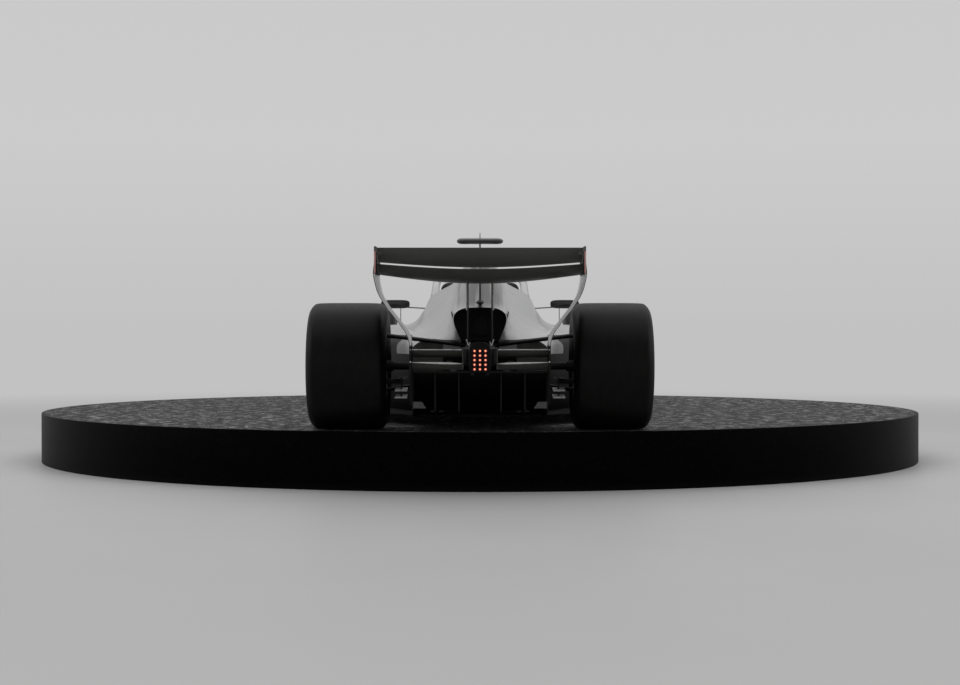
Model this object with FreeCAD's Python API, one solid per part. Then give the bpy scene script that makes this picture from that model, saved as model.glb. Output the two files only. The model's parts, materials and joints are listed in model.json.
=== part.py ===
import FreeCAD, Part
import math
import os

# Open wheel racing car on its round display plinth, in millimetres.
# X is to the right as seen from behind, Y points to the nose and Z is up.
# The model's origin is the centre of the plinth's underside. The car is drawn in its own
# frame, with zero on the ground under the middle of the rear axle, and moved onto the plinth.

# Plinth
PLINTH_RADIUS = 3070.0
PLINTH_HEIGHT = 330.0
PLINTH_SIDES = 96
REAR_AXLE_TO_EDGE = 350.0

# Car and wheels
WHEELBASE = 3600.0
OVERALL_WIDTH = 1940.0
TYRE_DIAMETER = 720.0
REAR_TYRE_WIDTH = 450.0
FRONT_TYRE_WIDTH = 330.0
TREAD_INSET = 48.0
RIM_DIAMETER = 457.0
RIM_WALL = 11.0
COVER_INSET = 14.0
COVER_DISH = 26.0
AXLE_RADIUS = 25.0
HUB_RADIUS = 58.0
HUB_LENGTH = 70.0
HUB_TAPER = 16.0
BEARING_CLEARANCE = 0.06
TYRE_GROUND_GAP = 0.3
FRONT_RIM_WIDTH = 305.0
REAR_RIM_WIDTH = 420.0
WHEEL_SIDES = 36
SHOULDER_DROP = 42.0
SHOULDER_INSET = 9.0

# Uprights, brake drums and steering
DRUM_CLEARANCE = 17.0
UPRIGHT_LENGTH = 96.0
UPRIGHT_THICKNESS = 56.0
REAR_UPRIGHT_INSET = 196.0
UPRIGHT_EAR = 14.0
DRUM_SIDES = 18
BALL_JOINT_HEIGHT = 140.0
REAR_UPPER_JOINT = 180.0
BALL_JOINT_RADIUS = 17.0
BALL_JOINT_LENGTH = 26.0
SEAT_CLEARANCE = 0.3
KINGPIN_INSET = 112.0
STEERING_ARM = 118.0
STEERING_ARM_HEIGHT = 52.0
STEERING_ARM_THICKNESS = 16.0
TRACK_ROD_RADIUS = 9.0
TRACK_ROD_PIN = 6.0
TRACK_ROD_EYE = 14.0
TRACK_ROD_INNER = 105.0
TRACK_ROD_TUNNEL = 21.0
ARM_CHORD = 52.0
ARM_THICKNESS = 17.0
DRIVESHAFT_RADIUS = 24.0
VANE_HEIGHTS = (193.0, 232.0, 298.0)
VANE_REACH = 110.0
VANE_SPAN = 68.0

# Hull
TUB_OVERHANG = 150.0
TUB_REAR = 1150.0
TUB_WALL = 28.0
COCKPIT_HALF_WIDTH = 235.0
COCKPIT_FRONT = 2580.0
COCKPIT_REAR = 1760.0
COCKPIT_FLOOR = 420.0
DASH_Y = 2700.0
DASH_THICKNESS = 14.0
DASH_LOWER_EDGE = 450.0
HEAD_ROOM = 150.0
SHOULDER_WIDTH = 112.0
COLUMN_RADIUS = 16.0
COLUMN_LENGTH = 370.0
WHEEL_Y = 2400.0
WHEEL_Z = 590.0
WHEEL_TILT = 14.0
COVER_FRONT = 1655.0
COVER_REAR = -60.0
COVER_WALL = 7.0
SIDEPOD_FRONT = 2180.0
SIDEPOD_REAR = 240.0
SIDEPOD_WALL = 12.0
FLOOR_HEIGHT = 62.0
FLOOR_THICKNESS = 22.0
FLOOR_HALF_WIDTH = 790.0
FLOOR_FRONT = 2760.0
FLOOR_REAR = 380.0
PLANK_THICKNESS = 10.0
PLANK_HALF_WIDTH = 150.0
PIECE_GAP = 0.5
FLATNESS = 1e-6
BEYOND = 6000.0

# Diffuser and rear end
DIFFUSER_REAR = -350.0
DIFFUSER_EXIT_HEIGHT = 341.0
DIFFUSER_SKIN = 12.0
FENCE_THICKNESS = 7.0
FENCE_SHARES = (0.32, 0.67)
ENGINE_HALF_WIDTH = 175.0
ENGINE_TOP = 520.0
GEARBOX_HALF_WIDTH = 105.0
CRASH_TAIL = -650.0
CRASH_HALF_WIDTH = 57.0
RAIN_LIGHT_DEPTH = 34.0
BEAM_INNER = 96.0
EXHAUST_RADIUS = 62.0
EXHAUST_WALL = 4.0
EXHAUST_SIDES = 24

# Rear wing
WING_OVERLAP = 40.0
WING_TOP = 1012.0
WING_TRAILING = -620.0
ENDPLATE_THICKNESS = 10.0
ENDPLATE_TYRE_GAP = 144.0
ENDPLATE_LEADING = -120.0
FLAP_END_GAP = 6.0
FLAP_PIN_RADIUS = 5.0
WING_LEADING = -190.0
MAIN_SAG = 56.0
SLOT_SAG = 28.0
SLOT_GAP = 2.0
SLOT_Y = -452.0
FLAP_LUG = 24.0
PYLON_OFFSET = 67.0
PYLON_THICKNESS = 9.0
PYLON_FOOT = 440.0

# Front wing and nose
NOSE_OVERHANG = 1200.0
FRONT_WING_INSET = 20.0
FRONT_WING_HEIGHT = 95.0
FRONT_WING_SWEEP = 230.0
FRONT_ELEMENTS = 4
FRONT_CHORD = 128.0
FRONT_SLOT = 14.0

# Mirrors, camera pod and halo
MIRROR_INNER = 479.0
MIRROR_OUTER = 675.0
MIRROR_HEIGHT = 742.0
MIRROR_Y = 2050.0
POD_HALF_WIDTH = 152.0
POD_HEIGHT = 1149.0
MAST_HEIGHT = 54.0
POD_Y = 1560.0
HALO_RADIUS = 25.0
HALO_TOP = 925.0
TUBE_SIDES = 8
HALO_STATIONS = 15

axle_height = TYRE_DIAMETER / 2 + TYRE_GROUND_GAP
rim_radius = RIM_DIAMETER / 2
front_wheel_x = (OVERALL_WIDTH - FRONT_TYRE_WIDTH) / 2
rear_wheel_x = (OVERALL_WIDTH - REAR_TYRE_WIDTH) / 2
kingpin_x = front_wheel_x - KINGPIN_INSET
rear_tyre_inner = rear_wheel_x - REAR_TYRE_WIDTH / 2
endplate_lower_x = rear_tyre_inner - ENDPLATE_TYRE_GAP
wing_half_span = rear_tyre_inner + WING_OVERLAP
front_wing_half_span = OVERALL_WIDTH / 2 - FRONT_WING_INSET
diffuser_half_width = endplate_lower_x - PIECE_GAP
floor_top = FLOOR_HEIGHT + FLOOR_THICKNESS
tub_front = WHEELBASE + TUB_OVERHANG
nose_tip = WHEELBASE + NOSE_OVERHANG


def vec(x, y, z):
    return FreeCAD.Vector(x, y, z)


def polygon(points):
    """A closed wire of straight edges through the points."""
    corners = [vec(*p) for p in points]
    return Part.makePolygon(corners + corners[:1])


def polygon_face(points):
    return Part.Face(polygon(points))


def patch(a, b, c, d):
    """The flat face between four corners, or two triangles on the shorter diagonal where it isn't flat."""
    rise = (vec(*b) - vec(*a)).cross(vec(*d) - vec(*a)).normalize()
    if abs(rise.dot(vec(*c) - vec(*a))) < FLATNESS:
        return [polygon_face([a, b, c, d])]
    if (vec(*c) - vec(*a)).Length < (vec(*d) - vec(*b)).Length - FLATNESS:
        return [polygon_face([a, b, c]), polygon_face([a, c, d])]
    return [polygon_face([a, b, d]), polygon_face([b, c, d])]


def solid_of(faces):
    solid = Part.Solid(Part.Shell(faces))
    if solid.Volume < 0:
        solid.reverse()
    return solid


def loft(rings):
    """A closed solid through rings of points: flat ends and a skin of flat patches between the rings."""
    faces = [polygon_face(rings[0]), polygon_face(rings[-1])]
    for first, second in zip(rings, rings[1:]):
        for i in range(len(first)):
            j = (i + 1) % len(first)
            faces += patch(first[i], first[j], second[j], second[i])
    return solid_of(faces)


def turned(profile, sides):
    """A body turned about the X axis from a closed profile of (x, radius), with this many flats round it."""
    rings = []
    for k in range(sides):
        turn = 2 * math.pi * k / sides
        rings.append([(x, r * math.sin(turn), r * math.cos(turn)) for x, r in profile])
    faces = []
    for first, second in zip(rings, rings[1:] + rings[:1]):
        for i in range(len(first)):
            j = (i + 1) % len(first)
            faces.append(polygon_face([first[i], first[j], second[j], second[i]]))
    return solid_of(faces)


def both_sides(shape):
    """The shape and its mirror image in the car's middle plane, as one compound."""
    return Part.makeCompound([shape, mirrored(shape)])


def mirrored(shape):
    return shape.mirror(vec(0, 0, 0), vec(1, 0, 0))


def box(x0, x1, y0, y1, z0, z1):
    return Part.makeBox(x1 - x0, y1 - y0, z1 - z0, vec(x0, y0, z0))


def rod(a, b, radius):
    """A round bar from one point to another."""
    start = vec(*a)
    run = vec(*b) - start
    return Part.makeCylinder(radius, run.Length, start, run)


def blade(a, b, chord, thickness):
    """A suspension arm of flattened lens section, its chord lying fore and aft."""
    start = vec(*a)
    run = vec(*b) - start
    along = vec(*run).normalize()
    fore = vec(0, 1, 0) - along * along.y
    fore.normalize()
    across = along.cross(fore)
    lens = [(0.5, 0), (0.2, 0.5), (-0.2, 0.5), (-0.5, 0), (-0.2, -0.5), (0.2, -0.5)]
    corners = [start + fore * (chord * u) + across * (thickness * v) for u, v in lens]
    return polygon_face(corners).extrude(run)


def prism(a, b, radius, sides):
    """A regular prism from one point to another, as wide over its corners as a rod of the radius."""
    start = vec(*a)
    run = vec(*b) - start
    along = vec(*run).normalize()
    upright_axis = vec(0, 1, 0) if abs(along.z) > 0.7 else vec(0, 0, 1)
    fore = upright_axis - along * along.dot(upright_axis)
    fore.normalize()
    across = along.cross(fore)
    corners = []
    for i in range(sides):
        turn = 2 * math.pi * (i + 0.5) / sides
        corners.append(start + fore * (radius * math.cos(turn)) + across * (radius * math.sin(turn)))
    return polygon_face(corners).extrude(run)


def swept_tube(points, radius, stations):
    """A tube along a smooth path through the points, lofted through rings square to the path."""
    curve = Part.BSplineCurve()
    curve.interpolate([vec(*p) for p in points])
    rings = []
    for i in range(stations):
        t = curve.FirstParameter + (curve.LastParameter - curve.FirstParameter) * i / (stations - 1)
        along = curve.tangent(t)[0]
        side = along.cross(vec(0, 0, 1)).normalize()
        up = side.cross(along)
        corners = []
        for k in range(TUBE_SIDES):
            turn = 2 * math.pi * k / TUBE_SIDES
            corners.append(curve.value(t) + side * (radius * math.cos(turn)) + up * (radius * math.sin(turn)))
        rings.append([tuple(p) for p in corners])
    return loft(rings)


def across_ring(y, half):
    """A closed ring of points across the car from its right half, listed from the middle of the top down."""
    right = [(x, y, z) for x, z in half]
    left = [(-x, y, z) for x, z in reversed(half[1:])]
    return right + left


def hull_section(y, half_width, low, high, flank):
    """A section of the tub or the nose: crowned on top, widest at the flank, with a tucked flat belly."""
    mid = low + (high - low) * flank
    half = [(0, high)]
    for turn in (64, 40, 18, 0):
        angle = math.radians(turn)
        half.append((half_width * math.cos(angle) ** 0.75, mid + (high - mid) * math.sin(angle) ** 0.75))
    half.append((half_width * 0.96, mid - (mid - low) * 0.55))
    half.append((half_width * 0.74, low))
    return across_ring(y, half)


def tub_sections(inset):
    """The tub's sections from the rear bulkhead to the nose; inset gives the inner wall."""
    leg_room = tub_front - COCKPIT_FRONT
    rows = [
        (TUB_REAR, 320, 75, 690, 0.55),
        (1600, 332, 75, 830, 0.72),
        (1900, 330, 75, 800, 0.74),
        (2250, 306, 78, 715, 0.74),
        (COCKPIT_FRONT + 0.06 * leg_room, 255, 110, 690, 0.70),
        (COCKPIT_FRONT + 0.49 * leg_room, 188, 190, 650, 0.60),
        (tub_front, 146, 262, 585, 0.55),
    ]
    rings = []
    for y, half_width, low, high, flank in rows:
        rings.append(hull_section(y, half_width - inset, low + inset, high - inset, flank))
    return rings


def cockpit_cutter():
    """The mouth of the cockpit, rounded behind and narrowed to the wheel's end in front."""
    side = COCKPIT_HALF_WIDTH
    right = [(0, COCKPIT_REAR), (150, COCKPIT_REAR + 25), (side, COCKPIT_REAR + 150),
             (side, COCKPIT_FRONT - 380), (185, COCKPIT_FRONT - 120), (95, COCKPIT_FRONT - 20),
             (0, COCKPIT_FRONT)]
    left = [(-x, y) for x, y in reversed(right[1:-1])]
    mouth = polygon_face([(x, y, COCKPIT_FLOOR) for x, y in right + left])
    return mouth.extrude(vec(0, 0, BEYOND))


def monocoque():
    """The carbon tub: hollow from the seat back to the pedals, with its cockpit cut open."""
    inner = loft(tub_sections(TUB_WALL))
    seat_back = COCKPIT_REAR - 20
    hollow = inner.common(box(-BEYOND, BEYOND, seat_back, tub_front - TUB_WALL * 3, 0, BEYOND))
    tub = tub_skin.cut(hollow).cut(cockpit_cutter())
    dash = inner.common(box(-BEYOND, BEYOND, DASH_Y, DASH_Y + DASH_THICKNESS, DASH_LOWER_EDGE, BEYOND))
    tub = tub.fuse(dash).cut(steering_column(COLUMN_RADIUS + SEAT_CLEARANCE))
    y, z = WHEELBASE + STEERING_ARM, track_rod_z()
    tunnel = prism((-kingpin_x, y, z), (kingpin_x, y, z), TRACK_ROD_TUNNEL, TUBE_SIDES)
    return tub.cut(tunnel)


def nose_sections():
    rows = [
        (tub_front + PIECE_GAP, 146, 262, 585, 0.55),
        (tub_front + 400, 126, 190, 490, 0.55),
        (nose_tip - 300, 108, 118, 345, 0.55),
        (nose_tip - 60, 84, 84, 196, 0.50),
        (nose_tip, 60, 98, 160, 0.50),
    ]
    return [hull_section(*row) for row in rows]


def nose_cone():
    return loft(nose_sections())


def cover_rings(inset):
    """Sections of the engine cover: a barrel along the spine, flared to the sidepod's deck.

    Each row gives the widths and heights of the right half from the spine down, and the rows run from
    the roll hoop to the round-shouldered exit.
    """
    rows = [
        (COVER_FRONT, (0, 62, 104, 128, 165, 240, 322, 372, 466),
         (1072, 1056, 1008, 940, 882, 840, 788, 690, 612)),
        (1250, (0, 54, 98, 130, 160, 215, 295, 360, 450), (1010, 994, 940, 870, 800, 745, 690, 630, 592)),
        (850, (0, 56, 104, 138, 158, 190, 245, 310, 392), (922, 908, 868, 805, 738, 680, 630, 586, 560)),
        (450, (0, 58, 110, 146, 162, 176, 210, 258, 318), (830, 820, 788, 735, 680, 630, 585, 550, 528)),
        (140, (0, 56, 106, 144, 161, 164, 176, 196, 222), (745, 741, 722, 686, 645, 605, 565, 532, 510)),
        (COVER_REAR, (0, 58, 104, 138, 151, 147, 135, 122, 111),
         (694, 693, 685, 664, 633, 600, 566, 534, 508)),
    ]
    rings = []
    for y, widths, heights in rows:
        half = []
        for x, z in zip(widths, heights):
            half.append((x - inset if x else 0, z - inset * (1.0 if x < 110 else 0.6)))
        half[-1] = (widths[-1] - 1.5 * inset, heights[-1] - 2 * inset)
        rings.append(across_ring(y, half))
    return rings


def engine_cover():
    """The bodywork over the engine, hollow, with the airbox mouth ahead and the exit behind."""
    skin = cover_skin.cut(loft(cover_rings(COVER_WALL)))
    front = box(-BEYOND, BEYOND, COVER_FRONT - 14, COVER_FRONT, 0, BEYOND)
    mouth = cover_skin.common(front).cut(airbox_cutter())
    fin = shark_fin().cut(cover_skin)
    return skin.fuse(mouth).cut(tub_skin).fuse(fin)


def airbox_cutter():
    """The rounded three-cornered intake above the driver's head."""
    right = [(0, 928), (62, 944), (84, 990), (52, 1034), (0, 1048)]
    mouth = right + [(-x, z) for x, z in reversed(right[1:-1])]
    return polygon_face([(x, COVER_FRONT - 300, z) for x, z in mouth]).extrude(vec(0, 500, 0))


def sidepod_section(y, inner, outer, low, high, edge):
    """A sidepod's section: sloped deck, rounded outer edge and undercut flank."""
    return [(inner, y, high), (outer - 90, y, high - edge * 0.10), (outer - 30, y, high - edge * 0.40),
            (outer, y, high - edge), (outer - 10, y, (high + low) / 2 - edge * 0.2),
            (outer - 60, y, low + (high - low) * 0.16), (outer - 120, y, low), (inner, y, low)]


def sidepod_rings(inset):
    low = floor_top + PIECE_GAP + inset
    rows = [
        (SIDEPOD_FRONT, 250, 700, low + 240 - inset, 606, 42),
        (1900, 250, 735, low + 130 - inset, 604, 52),
        (1450, 250, 742, low, 592, 70),
        (1000, 200, 690, low, 570, 84),
        (600, 150, rear_tyre_inner + 40, low, 545, 84),
        (SIDEPOD_REAR, 110, rear_tyre_inner - 120, low, 518, 80),
    ]
    return [sidepod_section(y, inner, outer - inset, bottom, top - inset, edge)
            for y, inner, outer, bottom, top, edge in rows]


def sidepod():
    """The right sidepod with its wide inlet and the duct behind it."""
    duct_end = SIDEPOD_FRONT - 420
    duct = loft(sidepod_rings(SIDEPOD_WALL)).common(box(0, BEYOND, duct_end, SIDEPOD_FRONT, 0, BEYOND))
    engine_bay = box(0, ENGINE_HALF_WIDTH + PIECE_GAP, 0, TUB_REAR, 0, BEYOND)
    body = sidepod_skin.cut(duct)
    for solid in (tub_skin, cover_skin, engine_bay, diffuser_space()):
        body = body.cut(solid)
    above_floor = box(0, BEYOND, 0, BEYOND, floor_top + PIECE_GAP, BEYOND)
    return biggest(body.common(above_floor))


def biggest(shape):
    """The largest solid of a result, with any sliver left by the cuts dropped."""
    return max(shape.Solids, key=lambda s: s.Volume)


def floor():
    """The flat floor with its waisted edge and the opening beside each rear tyre."""
    half = [(0, FLOOR_FRONT), (240, FLOOR_FRONT - 60), (430, 2480), (FLOOR_HALF_WIDTH - 90, 2300),
            (FLOOR_HALF_WIDTH, 2150), (FLOOR_HALF_WIDTH, 900), (640, 720), (520, 560),
            (diffuser_half_width, FLOOR_REAR)]
    outline = half + [(-x, y) for x, y in reversed(half) if x]
    face = polygon_face([(x, y, FLOOR_HEIGHT) for x, y in outline])
    slab = face.extrude(vec(0, 0, FLOOR_THICKNESS))
    return slab.cut(tub_skin)


def plank():
    top = FLOOR_HEIGHT
    return box(-PLANK_HALF_WIDTH, PLANK_HALF_WIDTH, FLOOR_REAR, FLOOR_FRONT - 90, top - PLANK_THICKNESS, top)


def diffuser_roof(offset):
    """The roof's line in side view as (y, z), from the floor up to the exit."""
    low = floor_top + offset
    high = DIFFUSER_EXIT_HEIGHT + offset
    front = FLOOR_REAR - PIECE_GAP
    line = []
    for t in (0.0, 0.3, 0.6, 1.0):
        rise = t * t * (1.9 - 0.9 * t)
        line.append((front + t * (DIFFUSER_REAR - front), low + rise * (high - low)))
    return line


def diffuser_space():
    """Everything under the top of the diffuser's roof, which the bodywork stays out of."""
    side = diffuser_roof(PIECE_GAP) + [(DIFFUSER_REAR, 0), (FLOOR_REAR, 0)]
    return polygon_face([(-500, y, z) for y, z in side]).extrude(vec(1000, 0, 0))


def diffuser():
    """The rising tunnel behind the floor: one roof skin, side walls and two pairs of fences."""
    top = diffuser_roof(0)
    under = diffuser_roof(-DIFFUSER_SKIN)
    x = -diffuser_half_width
    shape = polygon_face([(x, y, z) for y, z in top + under[::-1]]).extrude(vec(-2 * x, 0, 0))
    wall = diffuser_roof(-DIFFUSER_SKIN / 2)
    wall += [(DIFFUSER_REAR, FLOOR_HEIGHT + 60), (DIFFUSER_REAR + 90, FLOOR_HEIGHT + 20)]
    wall += [(FLOOR_REAR - PIECE_GAP, FLOOR_HEIGHT)]
    fence = polygon_face([(0, y, z) for y, z in wall]).extrude(vec(FENCE_THICKNESS, 0, 0))
    inner, outer = (share * diffuser_half_width for share in FENCE_SHARES)
    for edge in (-x, outer, inner):
        shape = shape.fuse(fence.translated(vec(-edge, 0, 0)))
        shape = shape.fuse(fence.translated(vec(edge - FENCE_THICKNESS, 0, 0)))
    return shape.removeSplitter()


def engine():
    """The power unit as one plain block behind the tub."""
    low = floor_top + PIECE_GAP
    return box(-ENGINE_HALF_WIDTH, ENGINE_HALF_WIDTH, 620, TUB_REAR - PIECE_GAP, low, ENGINE_TOP)


def tapered_case(rows):
    """A cast case lofted through rectangular sections with cut corners."""
    rings = []
    for y, half, low, high, cut in rows:
        right = [(0, high), (half - cut, high), (half, high - cut), (half, low + cut), (half - cut, low)]
        rings.append(across_ring(y, right))
    return loft(rings)


def gearbox():
    """The gearbox case with the tapering crash structure that ends in the rain light."""
    case = tapered_case([
        (620 - PIECE_GAP, 150, FLOOR_HEIGHT + 60, 500, 24),
        (250, GEARBOX_HALF_WIDTH, 265, 490, 24),
        (-120, 92, 355, 482, 20),
        (-300, 78, 352, 480, 18),
    ])
    tail = tapered_case([
        (-300, 78, 352, 480, 18),
        (CRASH_TAIL, CRASH_HALF_WIDTH - 10, 356, 478, 14),
    ])
    return case.fuse(tail).removeSplitter()


def rain_light():
    """The lamp on the end of the crash structure, its top rounded."""
    y = CRASH_TAIL - PIECE_GAP
    half = CRASH_HALF_WIDTH
    right = [(half, 336), (half, 468), (half * 0.82, 488), (half * 0.45, 501)]
    outline = right + [(-x, z) for x, z in reversed(right)]
    return polygon_face([(x, y, z) for x, z in outline]).extrude(vec(0, -RAIN_LIGHT_DEPTH, 0))


def exhaust():
    """The single tailpipe that leaves through the exit above the gearbox."""
    start, end = (0, 560, 585), (0, 50, 598)
    pipe = prism(start, end, EXHAUST_RADIUS, EXHAUST_SIDES)
    bore = prism((0, 500, 586.5), (0, 30, 598.5), EXHAUST_RADIUS - EXHAUST_WALL, EXHAUST_SIDES)
    foot = box(-14, 14, 60, 120, 470, 560).cut(gearbox()).cut(bore)
    return pipe.fuse(foot).cut(bore)


def aerofoil(x, nose, tail, camber, thickness):
    """A wing section in the plane at x: a curved mean line with a round nose and a blunt tail."""
    (y0, z0), (y1, z1) = nose, tail
    run_y, run_z = y1 - y0, z1 - z0
    chord = math.hypot(run_y, run_z)
    up_y, up_z = -run_z / chord, run_y / chord
    if up_z < 0:
        up_y, up_z = -up_y, -up_z

    def edge(side):
        line = []
        for t, depth in ((0.05, 0.6), (0.3, 1.0), (0.65, 0.7), (1.0, 0.14)):
            off = side * depth * thickness / 2 - camber * 4 * t * (1 - t)
            line.append((x, y0 + run_y * t + up_y * off, z0 + run_z * t + up_z * off))
        return line

    return [(x, y0, z0)] + edge(1) + edge(-1)[::-1]


def wing(sections):
    return loft([aerofoil(*row) for row in sections])


def rear_main_rows(half):
    """The main plane sags to the middle like a spoon."""
    rows = []
    for share in (-1, -0.65, -0.3, 0, 0.3, 0.65, 1):
        sag = math.cos(share * math.pi / 2)
        leading, trailing = 888 - MAIN_SAG * sag, 926 - SLOT_SAG * sag
        rows.append((share * half, (WING_LEADING, leading), (SLOT_Y, trailing), 26, 20))
    return rows


def rear_flap_rows(half):
    rows = []
    for share in (-1, -0.65, -0.3, 0, 0.3, 0.65, 1):
        sag = math.cos(share * math.pi / 2)
        nose_z = 926 - SLOT_SAG * sag + SLOT_GAP + 8
        rows.append((share * half, (SLOT_Y, nose_z), (WING_TRAILING, WING_TOP - 4), 14, 16))
    return rows


def flap_hinge():
    """Where the flap's pins sit, just ahead of its trailing edge."""
    return (WING_TRAILING + 34, WING_TOP - 30)


def rear_wing_flap():
    """The upper element, with a lug at each end that turns on the endplate's pin."""
    half = wing_half_span - FLAP_END_GAP
    y, z = flap_hinge()
    shape = wing(rear_flap_rows(half))
    lug = box(half - FLAP_LUG, half, y - FLAP_LUG / 2, y + FLAP_LUG / 2, z - FLAP_LUG / 2, z + FLAP_LUG / 2)
    hole = rod((half - FLAP_LUG, y, z), (half + 1, y, z), FLAP_PIN_RADIUS + BEARING_CLEARANCE)
    for cutter, piece in ((hole, lug), (mirrored(hole), mirrored(lug))):
        shape = shape.fuse(piece).cut(cutter)
    return shape


def rear_wing_main():
    return wing(rear_main_rows(wing_half_span - PIECE_GAP))


def endplate_line(offset):
    """The endplate seen from behind: upright, rolled inboard under the wing and upright again."""
    x = wing_half_span + offset
    low = endplate_lower_x + offset
    return [(x, WING_TOP + 4), (x, 925), (x + 5, 872), (x - 2, 820), (x - 17, 765), (low + 130, 700),
            (low + 72, 622), (low + 14, 538), (low, 480)]


def rear_endplate():
    """The right endplate, with the flap's pin on its inner face."""
    foot = (endplate_lower_x, 150)
    inner = endplate_line(0) + [foot]
    outer = endplate_line(ENDPLATE_THICKNESS) + [(foot[0] + ENDPLATE_THICKNESS, foot[1])]
    sheet = polygon_face([(x, -700, z) for x, z in inner + outer[::-1]]).extrude(vec(0, 700, 0))
    side = [(ENDPLATE_LEADING, 905), (ENDPLATE_LEADING - 10, 780), (-235, 640), (-240, 480), (-120, 360),
            (-60, 150), (-340, 150), (-470, 330), (-500, 560), (-560, 760), (WING_TRAILING - 6, 860),
            (WING_TRAILING - 6, WING_TOP + 4), (-330, WING_TOP + 4)]
    plate = sheet.common(polygon_face([(0, y, z) for y, z in side]).extrude(vec(BEYOND, 0, 0)))
    y, z = flap_hinge()
    pin_end = wing_half_span - FLAP_END_GAP - FLAP_LUG + 2
    pin = rod((wing_half_span + 2, y, z), (pin_end, y, z), FLAP_PIN_RADIUS)
    return plate.fuse(pin)


def pylons():
    """Two upright plates that carry the rear wing from the crash structure."""
    side = [(-200, 880), (-290, 880), (-330, 700), (-345, PYLON_FOOT), (-225, PYLON_FOOT), (-215, 700)]
    x = PYLON_OFFSET - PYLON_THICKNESS / 2
    plate = polygon_face([(x, y, z) for y, z in side]).extrude(vec(PYLON_THICKNESS, 0, 0))
    plate = plate.cut(rear_wing_main()).cut(gearbox())
    middle = [s for s in plate.Solids if s.BoundBox.ZMin < 700]
    return both_sides(max(middle, key=lambda s: s.Volume))


def beam_wing():
    """Two curved elements each side of the crash structure, joined at their inner ends by a rib."""
    half = diffuser_half_width
    inner = BEAM_INNER
    shares = (inner / half, 0.5, 1)
    upper = wing([(s * half, (-300, 414 + 4 * s), (-455, 457), 12, 13) for s in shares])
    lower = wing([(s * half, (-290, 350), (-450, 380 + 10 * s), 12, 13) for s in shares])
    rib = box(inner - 4, inner, -450, -300, 345, 470)
    return both_sides(upper.fuse(lower).fuse(rib))


def front_wing_rows(element):
    """Sections of one element: low and level in the middle, swept back and raised at the tips."""
    rows = []
    for share in (-1, -0.55, 0, 0.55, 1):
        out = abs(share)
        nose_y = nose_tip - 10 - element * (FRONT_CHORD - 8) - FRONT_WING_SWEEP * out
        nose_z = FRONT_WING_HEIGHT
        for lower in range(element):
            nose_z += FRONT_SLOT + 14 + 12 * lower + 24 * out
        tail_z = nose_z + 14 + 12 * element + 24 * out
        x = share * front_wing_half_span
        rows.append((x, (nose_y, nose_z), (nose_y - FRONT_CHORD, tail_z), 8, 12))
    return rows


def front_wing():
    """The elements, joined in the middle by the nose and at the ends by the endplates."""
    nose = nose_cone()
    solids = []
    for element in range(FRONT_ELEMENTS):
        plane = wing(front_wing_rows(element)).cut(nose)
        solids += [s for s in plane.Solids if s.Volume > 1e4]
    return Part.makeCompound(solids)


def front_endplate():
    """The right endplate of the front wing."""
    x = front_wing_half_span + PIECE_GAP
    front = nose_tip - FRONT_WING_SWEEP
    side = [(front + 10, 78), (front - 20, 160), (front - 330, 372), (front - 520, 392), (front - 530, 84)]
    return polygon_face([(x, y, z) for y, z in side]).extrude(vec(ENDPLATE_THICKNESS, 0, 0))


def rim(width, outboard):
    """A wheel about the X axis: barrel, hub on the stub axle and the dished cover that joins them."""
    half = width / 2
    r_in = rim_radius - RIM_WALL
    face = half - COVER_INSET - COVER_DISH
    back = face - HUB_LENGTH
    pilot = AXLE_RADIUS - 3
    profile = [
        (-half, r_in), (-half, rim_radius), (half, rim_radius), (face, HUB_RADIUS), (face, pilot),
        (back, pilot), (back, HUB_RADIUS - HUB_TAPER), (half - 2 * COVER_INSET, r_in),
    ]
    wheel = turned([(outboard * x, r) for x, r in profile], WHEEL_SIDES)
    bore = rod((outboard * (back - 1), 0, 0), (outboard * (face + 1), 0, 0), AXLE_RADIUS + BEARING_CLEARANCE)
    return wheel.cut(bore).removeSplitter()


def tyre(width, rim_width):
    """A slick tyre about the X axis: bead seat, bulged walls, sloped shoulders and a flat tread."""
    half = width / 2
    bead = rim_width / 2
    r_out = TYRE_DIAMETER / 2
    base = rim_radius + SEAT_CLEARANCE
    wall = [(bead, base), (half, base + (r_out - base) * 0.5), (half - SHOULDER_INSET, r_out - SHOULDER_DROP),
            (half - TREAD_INSET, r_out)]
    outline = wall + [(-x, r) for x, r in reversed(wall)]
    return turned(outline, WHEEL_SIDES)


def stub_end(wheel_x, rim_width):
    """The outer end of the stub axle, just inside the wheel cover."""
    return wheel_x + rim_width / 2 - COVER_INSET - COVER_DISH - 8


def hub_inner(wheel_x, rim_width):
    return wheel_x + rim_width / 2 - COVER_INSET - COVER_DISH - HUB_LENGTH


def upright(wheel_x, rim_width, inner_x, kingpin, y, top_joint):
    """The right upright: block with an ear at each ball joint, brake drum and stub axle."""
    drum_radius = rim_radius - RIM_WALL - DRUM_CLEARANCE
    drum_end = hub_inner(wheel_x, rim_width) - 8
    below = BALL_JOINT_HEIGHT - BALL_JOINT_LENGTH / 2 - SEAT_CLEARANCE
    above = top_joint - BALL_JOINT_LENGTH / 2 - SEAT_CLEARANCE
    half = UPRIGHT_LENGTH / 2
    z = axle_height
    block = box(inner_x, inner_x + UPRIGHT_THICKNESS, y - half, y + half,
                z - below + UPRIGHT_EAR, z + above - UPRIGHT_EAR)
    ear = BALL_JOINT_RADIUS
    ears = box(kingpin - ear, kingpin + ear, y - ear, y + ear, z - below, z + above)
    drum = prism((inner_x + UPRIGHT_THICKNESS - 4, y, z), (drum_end, y, z), drum_radius, DRUM_SIDES)
    stub = rod((drum_end - 2, y, z), (stub_end(wheel_x, rim_width), y, z), AXLE_RADIUS)
    return block.fuse(ears).fuse(drum).fuse(stub)


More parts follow.
